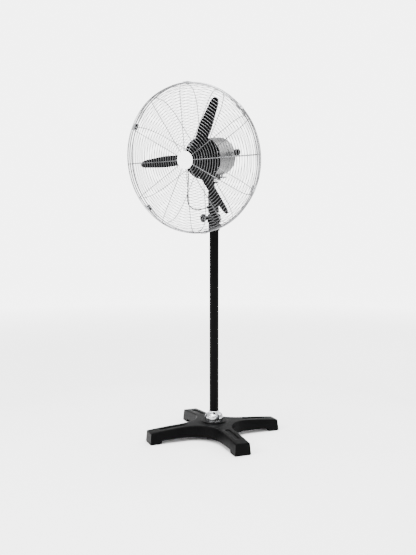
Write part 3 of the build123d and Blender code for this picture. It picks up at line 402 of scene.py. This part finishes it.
def smooth_curve(knots: np.ndarray, first: Sequence[float], last: Sequence[float], count: int) -> np.ndarray:
    """A curve through knots with even curvature and given directions at its ends.

    The slopes at the knots solve the usual banded system of a cubic spline over chord length,
    and each span is the cubic with those slopes.

    Args:
        knots: points, shape (n, 2).
        first: direction at the first knot.
        last: direction at the last knot.
        count: points wanted.

    Returns:
        Points on the curve, shape (count, 2).
    """
    chord = np.linalg.norm(np.diff(knots, axis=0), axis=1)
    at = np.concatenate([[0.0], np.cumsum(chord)])
    size = len(knots)
    band = np.eye(size)
    right = np.zeros((size, 2))
    right[0] = np.array(first) / np.linalg.norm(first)
    right[-1] = np.array(last) / np.linalg.norm(last)
    inner = np.arange(1, size - 1)
    before, after = chord[inner - 1], chord[inner]
    band[inner, inner - 1], band[inner, inner], band[inner, inner + 1] = after, 2 * (before + after), before
    right[inner] = 3 * (
        (after / before)[:, None] * (knots[inner] - knots[inner - 1])
        + (before / after)[:, None] * (knots[inner + 1] - knots[inner])
    )
    slope = np.linalg.solve(band, right)
    want = at[-1] * (1 - np.cos(np.linspace(0, pi, count))) / 2
    span = np.clip(np.searchsorted(at, want, side="right") - 1, 0, size - 2)
    width = chord[span][:, None]
    t = (want - at[span])[:, None] / width
    return (
        (2 * t**3 - 3 * t**2 + 1) * knots[span] + (t**3 - 2 * t**2 + t) * width * slope[span]
        + (3 * t**2 - 2 * t**3) * knots[span + 1] + (t**3 - t**2) * width * slope[span + 1]
    )


def shell_mesh(name: str, grids: Sequence[np.ndarray], loop_rows: bool = False,
               crease: float = 38.0) -> bpy.types.Object:
    """One mesh object from stacks of point grids.

    Each grid has shape (stack, rows, columns, 3). A face joins every point to its neighbours in the
    next row and column; the last column joins the first. Points that fall together, at a pole or a
    seam, are joined, and the faces are turned outwards.

    Args:
        name: the object's name.
        grids: the stacks of points.
        loop_rows: whether the last row joins the first.
        crease: edges sharper than this many degrees stay crisp.

    Returns:
        The object, at the origin.
    """
    points, faces, start = [], [], 0
    for grid in grids:
        stack, rows, columns, _ = grid.shape
        index = start + np.arange(stack * rows * columns).reshape(stack, rows, columns)
        if loop_rows:
            index = np.concatenate([index, index[:, :1]], axis=1)
        index = np.concatenate([index, index[:, :, :1]], axis=2)
        faces.append(np.stack(
            [index[:, :-1, :-1], index[:, 1:, :-1], index[:, 1:, 1:], index[:, :-1, 1:]], axis=-1,
        ).reshape(-1, 4))
        points.append(grid.reshape(-1, 3))
        start += stack * rows * columns
    mesh = bpy.data.meshes.new(name)
    mesh.from_pydata(np.concatenate(points).tolist(), [], np.concatenate(faces).tolist())
    return finish_mesh(name, mesh, crease)


def finish_mesh(name: str, mesh: bpy.types.Mesh, crease: float, flatten: float = 0.0) -> bpy.types.Object:
    """Join doubled points, turn faces outwards, shade smooth between creases and make the object.

    Args:
        name: the object's name.
        mesh: the raw mesh.
        crease: edges sharper than this many degrees stay crisp.
        flatten: flat neighbours within this many degrees become one face; 0 leaves them.

    Returns:
        The object, linked to the scene.
    """
    shape = bmesh.new()
    shape.from_mesh(mesh)
    bmesh.ops.remove_doubles(shape, verts=shape.verts, dist=JOIN_REACH)
    bmesh.ops.dissolve_degenerate(shape, edges=shape.edges, dist=JOIN_REACH * 0.5)
    if flatten:
        bmesh.ops.dissolve_limit(shape, angle_limit=radians(flatten), verts=shape.verts, edges=shape.edges)
    bmesh.ops.recalc_face_normals(shape, faces=shape.faces)
    shape.to_mesh(mesh)
    shape.free()
    mesh.polygons.foreach_set("use_smooth", np.ones(len(mesh.polygons), bool))
    mesh.set_sharp_from_angle(angle=radians(crease))
    piece = bpy.data.objects.new(name, mesh)
    bpy.context.collection.objects.link(piece)
    return piece


def turned_points(axes: Axes, outline: np.ndarray, steps: int, waves: int = 0,
                  depth: Optional[np.ndarray] = None) -> np.ndarray:
    """Points of an outline turned about an axis, with optional flutes.

    A point at (station, radius) goes to radius * (cos, sin) of each of the evenly spaced turns; with
    waves, the radius loses depth times the square of half of 1 + cos(waves * turn).

    Args:
        axes: z is the axis turned about.
        outline: (station, radius) in metres, shape (n, 2).
        steps: points round the axis.
        waves: how many flutes.
        depth: how deep they are at each point of the outline.

    Returns:
        Points of shape (1, n, steps, 3).
    """
    turn = np.arange(steps) * tau / steps
    radius = outline[:, 1:2] + np.zeros((1, steps))
    if waves and depth is not None:
        radius = radius - depth[:, None] * (0.5 + 0.5 * np.cos(waves * turn)) ** 2
    return axes.place(radius * np.cos(turn), radius * np.sin(turn), outline[:, :1])[None]


def ring_points(axes: Axes, stations: np.ndarray, radii: np.ndarray, wire: float, steps: int,
                sides: int) -> np.ndarray:
    """Rings of round wire about an axis: a circle of the wire's radius carried round each ring.

    Args:
        axes: z is the rings' axis.
        stations: each ring's place along z.
        radii: each ring's radius.
        wire: the wire's radius.
        steps: points round each ring.
        sides: points round the wire.

    Returns:
        Points of shape (rings, steps, sides, 3), looping both ways.
    """
    turn = (np.arange(steps) * tau / steps)[None, :, None]
    round_wire = (np.arange(sides) * tau / sides)[None, None, :]
    reach = radii[:, None, None] + wire * np.cos(round_wire)
    return axes.place(reach * np.cos(turn), reach * np.sin(turn),
                      stations[:, None, None] + wire * np.sin(round_wire))


def tube_points(path: np.ndarray, radius: float, sides: int) -> np.ndarray:
    """A round tube along a path, closed to a point at both ends.

    At each path point a circle stands square to the path. Its first direction is the one at the
    start, made square to the path there.

    Args:
        path: points, shape (n, 3).
        radius: the tube's radius.
        sides: points round it.

    Returns:
        Points of shape (1, n + 2, sides, 3).
    """
    ahead = np.gradient(path, axis=0)
    ahead /= np.linalg.norm(ahead, axis=1, keepdims=True)
    spare = np.array([0.0, 1.0, 0.0]) if abs(ahead[0, 1]) < 0.8 else np.array([1.0, 0.0, 0.0])
    first = spare - (ahead @ spare)[:, None] * ahead
    first /= np.linalg.norm(first, axis=1, keepdims=True)
    second = np.cross(ahead, first)
    turn = np.arange(sides) * tau / sides
    ring = (path[:, None] + radius * (first[:, None] * np.cos(turn)[:, None]
                                      + second[:, None] * np.sin(turn)[:, None]))
    ends = np.repeat(path[[0, -1]][:, None], sides, axis=1)
    return np.concatenate([ends[:1], ring, ends[1:]])[None]


def recast(node: str, ease: float) -> bpy.types.Object:
    """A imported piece's own shape with its triangles joined, flats merged and edges eased.

    Args:
        node: the CAD node.
        ease: width of the eased edge, in metres.

    Returns:
        The new object, which has replaced the node.
    """
    mesh = frame["nodes"][node].data.copy()
    mesh.materials.clear()
    piece = finish_mesh(f"{node}_finished", mesh, EASED_ANGLE, FLAT_ANGLE)
    edge = piece.modifiers.new("eased_edges", "BEVEL")
    edge.width, edge.segments = ease, 2
    edge.limit_method, edge.angle_limit = "ANGLE", radians(EASED_ANGLE)
    edge.use_clamp_overlap, edge.harden_normals = True, True
    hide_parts(node)
    return piece


def settle(piece: bpy.types.Object, finish: Finish, body: Body) -> bpy.types.Object:
    """Give a piece its finish and its body, and report it.

    Args:
        piece: the object.
        finish: what it is finished with.
        body: what it moves with.

    Returns:
        The piece.
    """
    piece.data.materials.clear()
    piece.data.materials.append(finish.material())
    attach(piece, body.value)
    log.info("%s: %d faces, %s, on %s", piece.name, len(piece.data.polygons), finish.name, body.value)
    return piece


@dataclass
class Recasts:
    """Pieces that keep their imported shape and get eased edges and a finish."""

    body: Body
    pieces: Mapping[str, tuple[Finish, float]]

    def build(self) -> None:
        """Recast and dress every piece."""
        for node, (finish, ease) in self.pieces.items():
            settle(recast(node, ease * MM), finish, self.body)


@dataclass
class Inner:
    """Pieces inside the casings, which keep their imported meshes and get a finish."""

    pieces: Mapping[str, Finish]

    def build(self) -> None:
        """Assign each finish to the CAD piece's own material slots."""
        for node, finish in self.pieces.items():
            mesh = frame["nodes"][node].data
            mesh.materials.clear()
            mesh.materials.append(finish.material())
            log.info("%s: packed mesh, %s", node, finish.name)


# ------------------------------------------------------------------------------ studio
@dataclass
class Studio:
    """Camera, pale floor and soft light."""

    eye: tuple[float, float, float] = (1.848, -3.263, 1.113)
    azimuth: float = 120.05
    pitch: float = -3.18
    lens: float = 43.2
    floor_size: float = 40.0
    surround: float = 1.5
    backdrop: float = 5.6
    glow: float = 4.1
    glow_reach: tuple[float, float] = (1.6, 8.0)
    lamps: tuple[Lamp, ...] = (  # name, place, what it is aimed at, size and power
        ("key", (-1.6, -4.4, 3.2), (0, -0.1, 1.1), 2.4, 300.0),
        ("fill", (3.4, -2.6, 2.4), (0, -0.1, 1.0), 2.2, 60.0),
        ("back", (0.8, 3.4, 3.2), (0, 0, 1.2), 2.6, 130.0),
        ("top", (0.0, -0.4, 4.4), (0, 0, 0), 3.4, 620.0),
    )

    def build(self) -> None:
        """Set up everything around the fan."""
        self._camera()
        self._floor()
        self._lights()

    def _camera(self) -> None:
        """Make the camera and aim it by azimuth and pitch."""
        data = bpy.data.cameras.new("camera")
        data.lens, data.sensor_width = self.lens, 36.0
        data.clip_end = 100.0
        camera = bpy.data.objects.new("camera", data)
        ahead = Vector((
            cos(radians(self.azimuth)) * cos(radians(self.pitch)),
            sin(radians(self.azimuth)) * cos(radians(self.pitch)), sin(radians(self.pitch)),
        ))
        camera.matrix_world = Matrix.LocRotScale(self.eye, ahead.to_track_quat("-Z", "Y"), None)
        bpy.context.collection.objects.link(camera)
        bpy.context.scene.camera = camera

    def _floor(self) -> None:
        """Lay a pale floor as one square, with a faint drift of tone.

        Away from the lamps it glows by the clamped ramp of its distance from the fan, so that it
        is as bright as the backdrop where it meets it.
        """
        half = self.floor_size / 2
        side = np.array([-half, half])
        x, y = np.meshgrid(side, side, indexing="ij")
        mesh = bpy.data.meshes.new("floor")
        points = np.stack([x, y, np.zeros_like(x)], axis=-1).reshape(-1, 3)
        mesh.from_pydata(points.tolist(), [], [(0, 2, 3, 1)])
        floor = bpy.data.objects.new("floor", mesh)
        bpy.context.collection.objects.link(floor)
        bench = Bench("studio_floor")
        tone = bench.noise(1.2, 2.0)
        away = bench.node("ShaderNodeVectorMath", {"operation": "LENGTH"}, {0: bench.place}, output="Value")
        mesh.materials.append(bench.dress(
            base_color=bench.tint(tone, (0.95, 0.95, 0.95), (0.965, 0.965, 0.965)),
            roughness=0.6 + 0.1 * tone,
            emission_color=bench.tint(away.ramp(*self.glow_reach), (0.0, 0.0, 0.0), (1.0, 1.0, 1.0)),
            emission_strength=self.glow,
        ))

    def _lights(self) -> None:
        """Hang the soft boxes and set an even pale surround."""
        for name, spot, aim, size, power in self.lamps:
            data = bpy.data.lights.new(name, "AREA")
            data.shape, data.size, data.energy = "DISK", size, power
            lamp = bpy.data.objects.new(name, data)
            aim_at = (Vector(aim) - Vector(spot)).to_track_quat("-Z", "Y")
            lamp.matrix_world = Matrix.LocRotScale(spot, aim_at, None)
            bpy.context.collection.objects.link(lamp)
        world = bpy.data.worlds.new("surround")
        world.use_nodes = True
        nodes, links = world.node_tree.nodes, world.node_tree.links
        seen = nodes.new("ShaderNodeLightPath").outputs["Is Camera Ray"]
        strength = nodes.new("ShaderNodeMapRange")
        strength.inputs["To Min"].default_value = self.surround
        strength.inputs["To Max"].default_value = self.backdrop
        links.new(seen, strength.inputs["Value"])
        links.new(strength.outputs["Result"], nodes["Background"].inputs["Strength"])
        nodes["Background"].inputs["Color"].default_value = (1.0, 1.0, 1.0, 1.0)
        bpy.context.scene.world = world


# ------------------------------------------------------------------------------ stand
@dataclass
class Stand:
    """The cross base, its pads, the plated collar and the pole, in millimetres."""

    pole_radius: float = 26.0
    pole_wall: float = 2.5
    pole_foot: float = 80.0
    pole_top: float = 1212.0
    steps: int = 128
    fittings: Recasts = field(default_factory=lambda: Recasts(Body.STAND, {
        "base_casting": (CAST_BLACK, 1.4), "foot_pads": (RUBBER_BLACK, 0.8),
        "pole_collar": (COLLAR_CHROME_PAINTED_REFLECTIONS, 1.0), "collar_bolts": (STEEL_DARK, 0.7),
        "collar_set_screw": (STEEL_DARK, 0.5), "inlet_gland": (PLASTIC_BLACK, 0.7),
        "tilt_bracket": (BRACKET_BLACK, 1.6), "clamp_screw": (STEEL_DARK, 0.7),
        "tilt_bolt": (STEEL_PLATED, 0.7), "tilt_washers": (STEEL_PLATED, 0.2),
    }))

    def build(self) -> None:
        """Build the pole and dress the cast and fitted pieces."""
        self.fittings.build()
        settle(self.pole(), POLE_BLACK, Body.STAND)

    def pole(self) -> bpy.types.Object:
        """The drawn tube: its wall's section with eased lips, turned about the vertical axis.

        Returns:
            The pole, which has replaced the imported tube.
        """
        inner, outer = self.pole_radius - self.pole_wall, self.pole_radius
        middle = (inner + outer) / 2
        wall = rounded([
            (self.pole_foot, middle), (self.pole_foot, outer), (self.pole_top, outer),
            (self.pole_top, inner), (self.pole_foot, inner), (self.pole_foot, middle),
        ], 0.9, 5)
        heights = np.linspace(self.pole_foot + 10, self.pole_top - 10, 40)
        outside = np.stack([heights, np.full_like(heights, outer)], axis=1)
        cut = int(np.argmax(wall[:, 0] > self.pole_foot + 10))
        outline = np.concatenate([wall[:cut], outside, wall[cut:]]) * MM
        upright = Axes(np.zeros(3), np.array([1.0, 0, 0]), np.array([0, 1.0, 0]), np.array([0, 0, 1.0]))
        piece = shell_mesh("pole_tube", [turned_points(upright, outline, self.steps)])
        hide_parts("pole")
        return piece


@dataclass
class TiltJoint:
    """The neck casting's pieces and the lobed hand knob on the tilt bolt, in millimetres."""

    knob_outline: tuple[tuple[float, float], ...] = (
        (-34.2, 6.2), (-34.2, 12.0), (-57.0, 12.0), (-61.0, 24.0), (-77.0, 24.0), (-83.2, 17.5), (-84.6, 8.0),
        (-83.0, 0.0),
    )
    sleeve: tuple[float, float] = (-50.0, 6.2)
    lobes: int = 6
    lobe_depth: float = 4.2
    neck_parts: Recasts = field(default_factory=lambda: Recasts(Body.NECK, {
        "neck_casting": (BRACKET_BLACK, 1.4), "neck_gland": (PLASTIC_BLACK, 0.8),
        "link_pin": (STEEL_PLATED, 0.3), "swivel_bush": (BRONZE, 0.3),
    }))

    def build(self) -> None:
        """Build the knob and dress the neck."""
        self.neck_parts.build()
        settle(self.knob(), PLASTIC_BLACK, Body.TILT_KNOB)

    def knob(self) -> bpy.types.Object:
        """The knob: its rounded outline turned about the bolt, with finger flutes in its head.

        Returns:
            The knob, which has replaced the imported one.
        """
        spot = next(entry for entry in frame["joints"] if entry["name"] == "tilt_knob_turn")["pos_m"]
        bolt = Axes(np.array([0.0, spot[1], spot[2]]), np.array([0, 1.0, 0]), np.array([0, 0, 1.0]),
                    np.array([1.0, 0, 0]))
        back = spread(rounded([self.sleeve, *self.knob_outline], (0.4, 1.0, 1.5, 3.0, 4.0, 5.0, 4.0), 6), 90)
        bored = np.concatenate([[(self.sleeve[0], 0.0)], back]) * MM
        fade = np.clip((bored[:, 1] - 0.013) / 0.006, 0, 1)
        piece = shell_mesh("tilt_hand_knob", [
            turned_points(bolt, bored, 144, self.lobes, self.lobe_depth * MM * fade)], crease=50)
        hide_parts("tilt_knob")
        return piece


# ------------------------------------------------------------------------------ head
@dataclass
class Motor:
    """The motor's casings, its saddle, gear pieces and knobs, in millimetres.

    Stations run forward along the shaft from the middle of the guard's rim.
    """

    drum: float = 105.0
    shell_front: float = -130.0
    shell_rear: float = -240.0
    bell_front: float = -112.0
    ribs: int = 12
    rib_rise: float = 1.6
    wall: float = 8.0
    bead_rise: float = 0.6
    bead_inset: float = 9.0
    bead_width: float = 3.2
    bell_steps: int = 240
    fittings: Recasts = field(default_factory=lambda: Recasts(Body.HEAD, {
        "motor_saddle": (BRACKET_BLACK, 1.2), "saddle_bolts": (STEEL_DARK, 0.5),
        "rear_bell": (MOTOR_GREY, 0.5), "rear_cover": (MOTOR_GREY, 0.6), "cover_screws": (STEEL_PLATED, 0.3),
        "lead_gland": (PLASTIC_BLACK, 0.8), "swivel_pin": (STEEL_PLATED, 0.4), "tie_bolts": (STEEL_DARK, 0.5),
        "gearbox_housing": (ZINC_CASTING, 0.6),
    }))
    inner: Inner = field(default_factory=lambda: Inner({
        "front_bearing": STEEL_PLATED, "rear_bearing": STEEL_PLATED, "stator_core": LAMINATION,
        "windings": COPPER, "speed_switch": PLASTIC_BLACK, "run_capacitor": PLASTIC_WHITE,
        "rotor_core": LAMINATION, "worm_wheel": NYLON,
    }))
    moving: tuple[Recasts, ...] = field(default_factory=lambda: (
        Recasts(Body.LINK, {"crank_link": (STEEL_DARK, 0.5)}),
        Recasts(Body.CRANK, {"oscillating_crank": (STEEL_PLATED, 0.4)}),
        Recasts(Body.CLUTCH, {"clutch_rod": (STEEL_PLATED, 0.3), "clutch_knob": (PLASTIC_BLACK, 0.8)}),
        Recasts(Body.SPEED_KNOB, {"speed_knob": (PLASTIC_BLACK, 1.0)}),
    ))

    def build(self) -> None:
        """Build the shell and the front bell and dress the rest."""
        self.axes = Axes.about("fan_spin")
        self.fittings.build()
        self.inner.build()
        for group in self.moving:
            group.build()
        settle(self.shell(), MOTOR_GREY, Body.HEAD)
        settle(self.bell(), MOTOR_BLACK, Body.HEAD)

    def shell(self) -> bpy.types.Object:
        """The drum: a rolled sheet with a raised bead near each end.

        The radius is the drum's less half a millimetre, and comes up to it in two smooth beads.

        Returns:
            The shell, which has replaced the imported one.
        """
        stations = np.linspace(self.shell_rear + 0.6, self.shell_front - 0.6, 90)
        beads = sum(np.exp(-((stations - spot) / self.bead_width) ** 2)
                    for spot in (self.shell_rear + self.bead_inset, self.shell_front - self.bead_inset))
        rise = self.bead_rise
        outer = np.stack([stations, self.drum - rise + rise * np.clip(beads, 0, 1)], axis=1)
        inner = self.drum - self.wall
        outline = np.concatenate([
            [(self.shell_rear, inner), (self.shell_rear, self.drum - 1.2)], outer,
            [(self.shell_front, self.drum - 1.2), (self.shell_front, inner), (self.shell_rear, inner)],
        ]) * MM
        piece = shell_mesh("motor_drum", [turned_points(self.axes, outline, 160)])
        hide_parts("motor_shell")
        return piece

    def bell(self) -> bpy.types.Object:
        """The front bell: a turned casting whose face carries low radial ribs.

        Between the boss and the rim the face rises by rib_rise times a power of the cosine of the
        turn times the number of ribs, faded out at both ends of each rib.

        Returns:
            The bell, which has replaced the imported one.
        """
        front, inner, steps = self.bell_front, self.drum - self.wall, self.bell_steps
        outline = rounded([
            (front + 14, 11), (front + 14, 24), (front - 0.6, 31), (front - 1.6, 38), (front - 1.6, 94),
            (front - 4, 99), (front - 4, 109), (front - 9, 109), (front - 12, self.drum),
            (self.shell_front, self.drum), (self.shell_front, inner), (front - 6, inner), (front - 6, 26),
            (front - 1, 20), (front + 11, 20), (front + 11, 11), (front + 14, 11),
        ], (1.5, 3, 4, 3, 3, 1, 1, 1.5, 1, 0.2, 0.2, 2, 2, 0.3, 0.3), 5)
        face = np.stack([np.full(24, front - 1.6), np.linspace(41, 91, 24)], axis=1)
        start = int(np.argmax((outline[:, 1] > 40) & (outline[:, 0] > front - 3)))
        outline = np.concatenate([outline[:start], face, outline[start:]])
        grid = turned_points(self.axes, outline * MM, steps)
        turn = np.arange(steps) * tau / steps
        reach = outline[:, 1]
        on_face = (outline[:, 0] > front - 2.2) & (outline[:, 0] < front - 1.0)
        fade = np.clip((reach - 42) / 6, 0, 1) * np.clip((90 - reach) / 6, 0, 1) * on_face
        rise = fade[:, None] * (0.5 + 0.5 * np.cos(self.ribs * turn)) ** 6 * self.rib_rise * MM
        grid[0] += rise[..., None] * self.axes.z
        piece = shell_mesh("motor_front_bell", [grid])
        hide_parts("front_bell")
        return piece


@dataclass
class Propeller:
    """Three pressed paddle blades on a hub, in millimetres."""

    pitch: float = 26.0
    station: float = -26.0
    first_turn: float = 61.6
    gauge: float = 2.5
    camber: float = 150.0
    square: float = 0.35
    knots: tuple[tuple[float, float], ...] = ((46, 26), (110, 31), (190, 33), (280, 26), (343, 0))
    rows: int = 96
    columns: int = 64
    fittings: Recasts = field(default_factory=lambda: Recasts(Body.ROTOR, {
        "blade_hub": (BLADE_BLACK, 1.0), "blade_rivets": (STEEL_DARK, 0.3), "hub_nut": (STEEL_PLATED, 0.7),
        "motor_shaft": (STEEL_PLATED, 0.3),
    }))

    def build(self) -> None:
        """Build the blades and dress the hub, its rivets, nut and shaft."""
        self.axes = Axes.about("fan_spin")
        self.fittings.build()
        for number in range(3):
            settle(self.blade(number), BLADE_BLACK, Body.ROTOR)

    def blade(self, number: int) -> bpy.types.Object:
        """One blade: a thin plate with rolled edges, curved across and pitched about its length.

        Along the blade the half chord follows a smooth curve through the knots. Across it, a flat
        loop of superellipse form gives the plate its thickness, and the loop is lifted by the
        camber circle's rise: camber - sqrt(camber^2 - y^2).

        Args:
            number: 0, 1 or 2.

        Returns:
            The blade, which has replaced its packed one.
        """
        outline = smooth_curve(np.array(self.knots, float), (1, 0.1), (0, -1), self.rows)
        out = np.concatenate([[outline[0, 0]], outline[:, 0]])
        half = np.concatenate([[0.0], outline[:, 1].clip(0)])
        thick = np.concatenate([[0.0], np.full(self.rows, self.gauge / 2)])
        thick[-1] = 0.0
        loop = np.arange(self.columns) * tau / self.columns
        across = np.sign(np.cos(loop)) * np.abs(np.cos(loop)) ** self.square
        proud = np.sign(np.sin(loop)) * np.abs(np.sin(loop)) ** self.square
        y = half[:, None] * across
        z = self.gauge / 2 + thick[:, None] * proud + self.camber - np.sqrt(self.camber**2 - y**2)
        turn = radians(self.first_turn + 120 * number)
        spoke = cos(turn) * self.axes.x + sin(turn) * self.axes.y
        ahead = np.cross(self.axes.z, spoke)
        normal = self.axes.z * cos(radians(self.pitch)) - ahead * sin(radians(self.pitch))
        middle = self.axes.origin + self.axes.z * self.station * MM
        plate = Axes(middle, spoke, np.cross(normal, spoke), normal)
        grid = plate.place(out[:, None] * MM, y * MM, z * MM)[None]
        piece = shell_mesh(f"blade_{number + 1}_pressed", [grid], crease=60)
        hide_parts(f"blade_{number + 1}")
        return piece


@dataclass(frozen=True)
class Skin:
    """One dished half of the guard: its section from hub to rim, as (station, radius) corners."""

    corners: tuple[tuple[float, float], ...]
    bends: tuple[float, float]
    first: float
    count: int

    def hoop_spots(self, pitch: float) -> np.ndarray:
        """(station, radius) of each hoop, evenly spaced along the section, in metres."""
        line = rounded(self.corners, self.bends, 24)
        length = np.concatenate([[0.0], np.cumsum(np.linalg.norm(np.diff(line, axis=0), axis=1))])
        at = self.first + pitch * np.arange(self.count)
        return np.stack([np.interp(at, length, line[:, 0]), np.interp(at, length, line[:, 1])], axis=1) * MM


@dataclass
class Guard:
    """Both halves of the wire guard, its rims, clips and badge, in millimetres."""

    rim_radius: float = 390.0
    rim_wire: float = 3.5
    rim_gap: float = 11.0
    hoop_wire: float = 1.2
    hoop_pitch: float = 15.0
    rib_wire: float = 1.9
    rib_count: int = 12
    wire_sides: int = 10
    front: Skin = Skin(((64.5, 44), (61, 342), (48, 386), (11, 390)), (150, 26), 16, 24)
    rear: Skin = Skin(((-112.5, 110), (-110, 288), (-80, 373), (-11, 390)), (150, 60), 14, 21)
    fittings: Recasts = field(default_factory=lambda: Recasts(Body.HEAD, {
        "rim_clips": (CLIP_BRIGHT, 0.5), "clip_screws": (STEEL_PLATED, 0.3),
        "guard_screws": (STEEL_PLATED, 0.3),
    }))

    def build(self) -> None:
        """Build every wire, the ring behind and the badge in front."""
        self.axes = Axes.about("fan_spin")
        self.fittings.build()
        for side, skin in (("front", self.front), ("rear", self.rear)):
            settle(self.hoops(side, skin), WIRE_BRIGHT, Body.HEAD)
            settle(self.ribs(side, skin), WIRE_BRIGHT, Body.HEAD)
            settle(self.rim(side), RIM_BRIGHT, Body.HEAD)
        settle(self.turned_disc("badge", (
            (63.6, 0), (63.6, 46.2), (64.2, 46.8), (65.6, 46.8), (68.2, 44.6), (68.4, 41.5), (67.9, 40.8),
            (67.9, 0),
        ), 0.8), BADGE_WHITE, Body.HEAD)
        settle(self.turned_disc("hub_plate", ((58, 0), (58, 43), (60.2, 43), (60.2, 0)), 0.6),
               RIM_BRIGHT, Body.HEAD)
        settle(self.turned_disc("guard_ring", (
            (-116, 106), (-116, 99.2), (-113.5, 99.2), (-113.5, 114.5), (-116, 114.5), (-116, 106),
        ), 0.7), MOTOR_BLACK, Body.HEAD)

    def hoops(self, side: str, skin: Skin) -> bpy.types.Object:
        """The concentric hoops of one half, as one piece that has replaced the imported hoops."""
        spots = skin.hoop_spots(self.hoop_pitch)
        grid = ring_points(self.axes, spots[:, 0], spots[:, 1], self.hoop_wire * MM, 132,
                           self.wire_sides)
        piece = shell_mesh(f"{side}_hoop_wires", [grid], loop_rows=True, crease=80)
        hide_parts(f"{side}_hoops")
        return piece

    def ribs(self, side: str, skin: Skin) -> bpy.types.Object:
        """The radial wires of one half: the section, set in by the wires, carried to each turn.

        A circle of the wire's radius stands square to the section at each of its points; the whole
        is then turned to every rib's place at once.

        Args:
            side: front or rear.
            skin: that half's section.

        Returns:
            The ribs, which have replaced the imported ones.
        """
        inset = self.hoop_wire + self.rib_wire - 0.2
        (s0, r0), (s1, r1), (s2, r2), (s3, r3) = skin.corners
        way = 1 if s0 > 0 else -1
        line = spread(rounded([
            (s0 - way * inset, r0 - 6), (s1 - way * inset, r1 - 1), (s2 - way, r2 - inset), (s3, r3 - inset),
        ], skin.bends, 12), 90)
        ahead = np.gradient(line, axis=0)
        ahead /= np.linalg.norm(ahead, axis=1, keepdims=True)
        sides, wire = self.wire_sides, self.rib_wire
        loop = np.arange(sides) * tau / sides
        station = line[:, :1] - wire * ahead[:, 1:] * np.cos(loop)
        reach = line[:, 1:] + wire * ahead[:, :1] * np.cos(loop)
        sway = wire * np.sin(loop) + np.zeros_like(station)
        ends = [np.repeat(line[[spot], axis][:, None], sides, 1) for spot in (0, -1) for axis in (0, 1)]
        station = np.concatenate([ends[0], station, ends[2]])
        reach = np.concatenate([ends[1], reach, ends[3]])
        sway = np.concatenate([np.zeros((1, sides)), sway, np.zeros((1, sides))])
        turn = (np.arange(self.rib_count) * tau / self.rib_count)[:, None, None]
        grid = self.axes.place((reach * np.cos(turn) - sway * np.sin(turn)) * MM,
                               (reach * np.sin(turn) + sway * np.cos(turn)) * MM,
                               (station + 0 * turn) * MM)
        piece = shell_mesh(f"{side}_rib_wires", [grid], crease=70)
        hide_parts(f"{side}_ribs")
        return piece

    def rim(self, side: str) -> bpy.types.Object:
        """The heavy rod at the edge of one half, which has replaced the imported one."""
        station = np.array([self.rim_gap if side == "front" else -self.rim_gap]) * MM
        grid = ring_points(self.axes, station, np.array([self.rim_radius]) * MM, self.rim_wire * MM, 288, 20)
        piece = shell_mesh(f"{side}_rim_rod", [grid], loop_rows=True, crease=80)
        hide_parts(f"{side}_rim")
        return piece

    def turned_disc(self, node: str, corners: Sequence[tuple[float, float]], ease: float) -> bpy.types.Object:
        """A disc or ring turned about the fan's axis from a rounded outline.

        Args:
            node: the CAD node that it replaces.
            corners: the outline as (station, radius).
            ease: radius of its corners.

        Returns:
            The piece.
        """
        outline = rounded(corners, ease, 5) * MM
        piece = shell_mesh(f"{node}_turned", [turned_points(self.axes, outline, 128)])
        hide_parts(node)
        return piece


@dataclass
class MotorLead:
    """The flexible lead from the motor's gland down into the neck."""

    diameter: float = 0.0065
    length: float = 0.386
    route: tuple[tuple[float, float, float], ...] = (
        (-0.1124, -0.05973, 1.56939), (-0.1450, -0.0600, 1.5690), (-0.1345, -0.0600, 1.5050),
        (-0.1315, -0.0600, 1.4550), (-0.1350, -0.0610, 1.4050), (-0.1380, -0.0620, 1.3500),
        (-0.1320, -0.0600, 1.3120), (-0.1130, -0.0510, 1.2930), (-0.0870, -0.0385, 1.2850),
        (-0.0610, -0.0240, 1.2890), (-0.0430, -0.0110, 1.2985),
    )
    sides: int = 14

    def build(self) -> None:
        path = self.centre_line()
        piece = shell_mesh("motor_lead_sheath", [tube_points(path, self.diameter / 2, self.sides)], crease=70)
        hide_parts("motor_lead")
        piece.data.materials.append(LEAD_BLACK.material())
        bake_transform(piece)
        log.info("motor_lead_sheath: %d faces, %s, between head and neck", len(piece.data.polygons),
                 LEAD_BLACK.name)

    def centre_line(self) -> np.ndarray:
        """The points of a NURBS spline through the route's control points, shape (n, 3)."""
        curve = bpy.data.curves.new("lead_line", "CURVE")
        curve.dimensions, curve.resolution_u = "3D", 8
        spline = curve.splines.new("NURBS")
        spline.points.add(len(self.route) - 1)
        spline.points.foreach_set("co", np.column_stack([self.route, np.ones(len(self.route))]).ravel())
        spline.order_u = 3
        spline.use_endpoint_u = True
        holder = bpy.data.objects.new("lead_line", curve)
        bpy.context.collection.objects.link(holder)
        bpy.context.view_layer.update()
        mesh = bpy.data.meshes.new_from_object(holder.evaluated_get(bpy.context.evaluated_depsgraph_get()))
        points = np.empty(len(mesh.vertices) * 3)
        mesh.vertices.foreach_get("co", points)
        bpy.data.objects.remove(holder)
        bpy.data.meshes.remove(mesh)
        return points.reshape(-1, 3)


def main() -> None:
    """Build the fan in order."""
    logging.basicConfig(level=logging.INFO, format="%(message)s")
    Studio().build()
    Stand().build()
    TiltJoint().build()
    Motor().build()
    Propeller().build()
    Guard().build()
    MotorLead().build()


if __name__ == "__main__":
    main()
